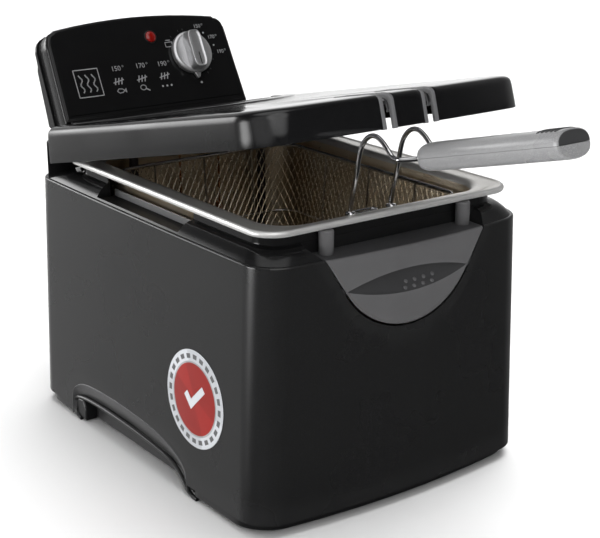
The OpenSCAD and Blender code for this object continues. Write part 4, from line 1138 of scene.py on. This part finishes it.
def fascia():
    plate = panel_loft("control_fascia", (-2.9, 0.0), (-2.5, 0.15), (-2.5, 0.45), (-2.75, 0.7), (-3.2, THICK),
                       (-6, THICK))
    dots = ((67.4, 65.1, 0.9), (75, 52.1, 0.9), (50.7, 17.7, 1.1))
    parts = [plate] + [flat(circle(x, v, r, 14)) for x, v, r in dots]
    for text, x, v, size in (("150", 62.6, 72.0, 5.2), ("170", 74.6, 60.2, 5.2), ("190", 80.2, 45.2, 5.2),
                             ("150", -33.4, 39.9, 6.6), ("170", -8.4, 40.1, 6.6), ("190", 14.4, 39.6, 6.6)):
        parts += number(text, x, v, size)
    parts += pictures()
    for k in (k for k in range(19) if k % 3):       # scale ring of short ticks round the knob
        a = math.radians(-70 + k * 12.6)
        tick = [(KNOB[0] + r * math.cos(a), KNOB[1] + r * math.sin(a)) for r in (23.2, 24.4)]
        parts += stroke(tick, 0.35, mat="faint")
    return join("control_fascia", parts)


give(front_housing(), "control_unit", "panel_black", "control_front")
give(fascia(), "control_unit", "panel_black", "control_fascia")
LENS = [(0.01, -4.6), (3.9, -4.6), (4.0, 0.2), (5.2, 0.3), (5.25, 1.1), (5.0, 1.7), (4.2, 2.3), (3.0, 2.7),
        (1.5, 2.95), (0.01, 3.0)]
BEZEL = [(5.35, 0.7), (6.3, 0.7), (6.3, 1.15), (6.0, 1.4), (5.6, 1.4), (5.35, 1.1)]
lamp = [lathe("pilot_lamp", profile, mat, on_face(10.6, 66.3))
        for profile, mat in ((LENS, "lens"), (BEZEL, "black"))]
give(join("pilot_lamp", lamp), "control_unit", "lens_red", "pilot_lamp")


def knob_piece():
    place = on_face(*KNOB, 1.2)
    disc = [(0.01, 0.0), (19.2, 0.0), (20.0, 0.25), (20.25, 0.8), (20.25, 3.7), (19.9, 4.7), (19.1, 5.4),
            (18.0, 5.8), (16.9, 5.9), (16.2, 5.75), (9, 5.9), (0.01, 6.0)]
    rings = []                                      # raised bar, waisted, with rounded shoulders
    for z, k in ((5.4, 1.0), (9, 0.96), (12, 0.93), (14.2, 0.90), (15.1, 0.875), (15.3, 0.845), (15.2, 0.80),
                 (14.8, 0.74), (14.5, 0.62)):
        wide, long = 9.4 - 14 * (1 - k), 18.6 * (1 - (1 - k) * 0.45)
        rings.append([(math.copysign(abs(c) ** 0.6, c) * wide * (0.86 + 0.14 * abs(s)),
                       math.copysign(abs(s) ** 0.55, s) * long, z) for c, s in circle(0, 0, 1, 48)])
    tip = [(-4.6, -17), (4.6, -17), (1.5, -24.2), (0.6, -24.9), (-0.6, -24.9), (-1.5, -24.2)]
    mark = [(-0.55, -17.6), (0.55, -17.6), (0.55, -4), (-0.55, -4)]
    return join("control_knob", [lathe("disc", disc, "knob", place, 120, 28),
                                 loft("bar", rings, "knob", place=place, angle=40),
                                 bevel(slab(tip, 0.3, 3.6, place, "knob", 32), 0.5),
                                 slab(mark, 14.3, 14.62, place, "matte")])


give(knob_piece(), "knob", "knob_silver", "control_knob")


# ---------------------------------------------------------------- CAD pieces that stay: finish and softened edges
KEEP = {
    "base_screws": ("zinc", 0.2), "grip_screws": ("zinc", 0.2), "control_screws": ("zinc", 0.2),
    "lid_screws": ("zinc", 0.15), "control_rear": ("lidside", 0.7), "lamp_holder": ("cream", 0.3),
    "thermostat_body": ("cream", 0.4),
    "safety_cutout": ("cream", 0.4), "terminal_block": ("cream", 0.4), "safety_switch": ("black", 0.3),
    "heating_element": ("tube", 0.0), "element_guard": ("zinc", 0.2), "thermostat_sensor": ("copper", 0.2),
    "cutout_sensor": ("copper", 0.2), "cord_gland": ("rubber", 0.5), "reset_button": ("button", 0.4),
    "lid_pivots": ("black", 0.3), "lid_hinge_leaves": ("bracket", 0.3), "grease_filter": ("fibre", 0.0),
    "filter_grid": ("liner", 0.2),
}
for name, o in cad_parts.items():
    key, width = KEEP.get(name, ("bracket", 0.2))
    o.data.materials.clear()
    o.data.materials.append(M[key])
    if width and not o.hide_render:
        soften(o, width, 2, 45)


# ---------------------------------------------------------------- floor, backdrop and light
# soft lights of the studio: direction, cosine where each starts, cosine where it is full, brightness
LOBES = [((0.30, 0.95, 0.05), 0.60, 0.95, 0.50), ((0.56, 0.82, -0.06), 0.930, 0.985, 0.55),
         ((-0.10, -0.05, 1.0), 0.80, 0.95, 1.20), ((-0.86, -0.48, 0.36), 0.80, 0.97, 0.6),
         ((-0.36, 0.90, -0.31), 0.74, 0.95, 0.385), ((0.95, 0.2, 0.25), 0.60, 0.95, 0.25),
         ((-0.25, -0.75, 0.62), 0.85, 0.97, 1.6), ((0.64, 0.727, 0.27), 0.985, 0.996, 0.62),
         ((-0.43, 0.88, 0.18), 0.964, 0.982, 6.2), ((-0.95, 0.26, 0.0), 0.965, 0.982, 10.0)]
AMBIENT = 0.02


def backing(name, verts, faces, grey, strength):
    """Plain white thing around the fryer, in metres."""
    me = bpy.data.meshes.new(name)
    me.from_pydata(verts, [], faces)
    me.materials.append(principled(name, (grey, grey, grey), 0.95, spec=0.0, strength=strength)[0])
    o = link(name, me)
    o.visible_glossy = False
    return o


def studio():
    corners = [(-30, -30, 0), (30, -30, 0), (30, 30, 0), (-30, 30, 0)]
    floor = backing("floor", corners, [(0, 1, 2, 3)], 0.86, 0.0)
    # wall far around the floor, seen from low viewpoints only
    ring = circle(0, 0, 29, 64)
    wall = backing("backdrop", at(ring, -0.5) + at(ring, 16),
                   [(k, (k + 1) % 64, 64 + (k + 1) % 64, 64 + k) for k in range(64)], 0.02, 1.0)
    wall.visible_diffuse = wall.visible_shadow = wall.visible_transmission = False
    # overhead light for the floor alone, so that the floor is white and the fryer's own tones stay
    sun = bpy.data.lights.new("overhead", "SUN")
    sun.energy, sun.angle = 2.78, math.radians(48)
    overhead = link("overhead", sun)
    overhead.location = (0, 0, 3)
    overhead.rotation_euler = (math.radians(-8), math.radians(18), 0)
    only = bpy.data.collections.new("floor_only")
    only.objects.link(floor)
    overhead.light_linking.receiver_collection = only
    world = bpy.data.worlds.new("studio")
    scene.world = world
    world.use_nodes = True
    t = world.node_tree
    ray = node(t, "TexCoord", "Generated", {})
    total = AMBIENT
    for axis, start, full, bright in LOBES:
        cosine = node(t, "VectorMath", "Value", {0: ray, 1: Vector(axis).normalized()},
                      operation="DOT_PRODUCT")
        lobe = node(t, "MapRange", "Result",
                    {"Value": cosine, "From Min": start, "From Max": full, "To Max": bright},
                    interpolation_type="SMOOTHSTEP")
        total = node(t, "Math", "Value", {0: lobe, 1: total}, operation="ADD")
    plug(t, t.nodes["Background"].inputs["Strength"], total)
    plug(t, t.nodes["Background"].inputs["Color"], (1, 1, 1))


studio()
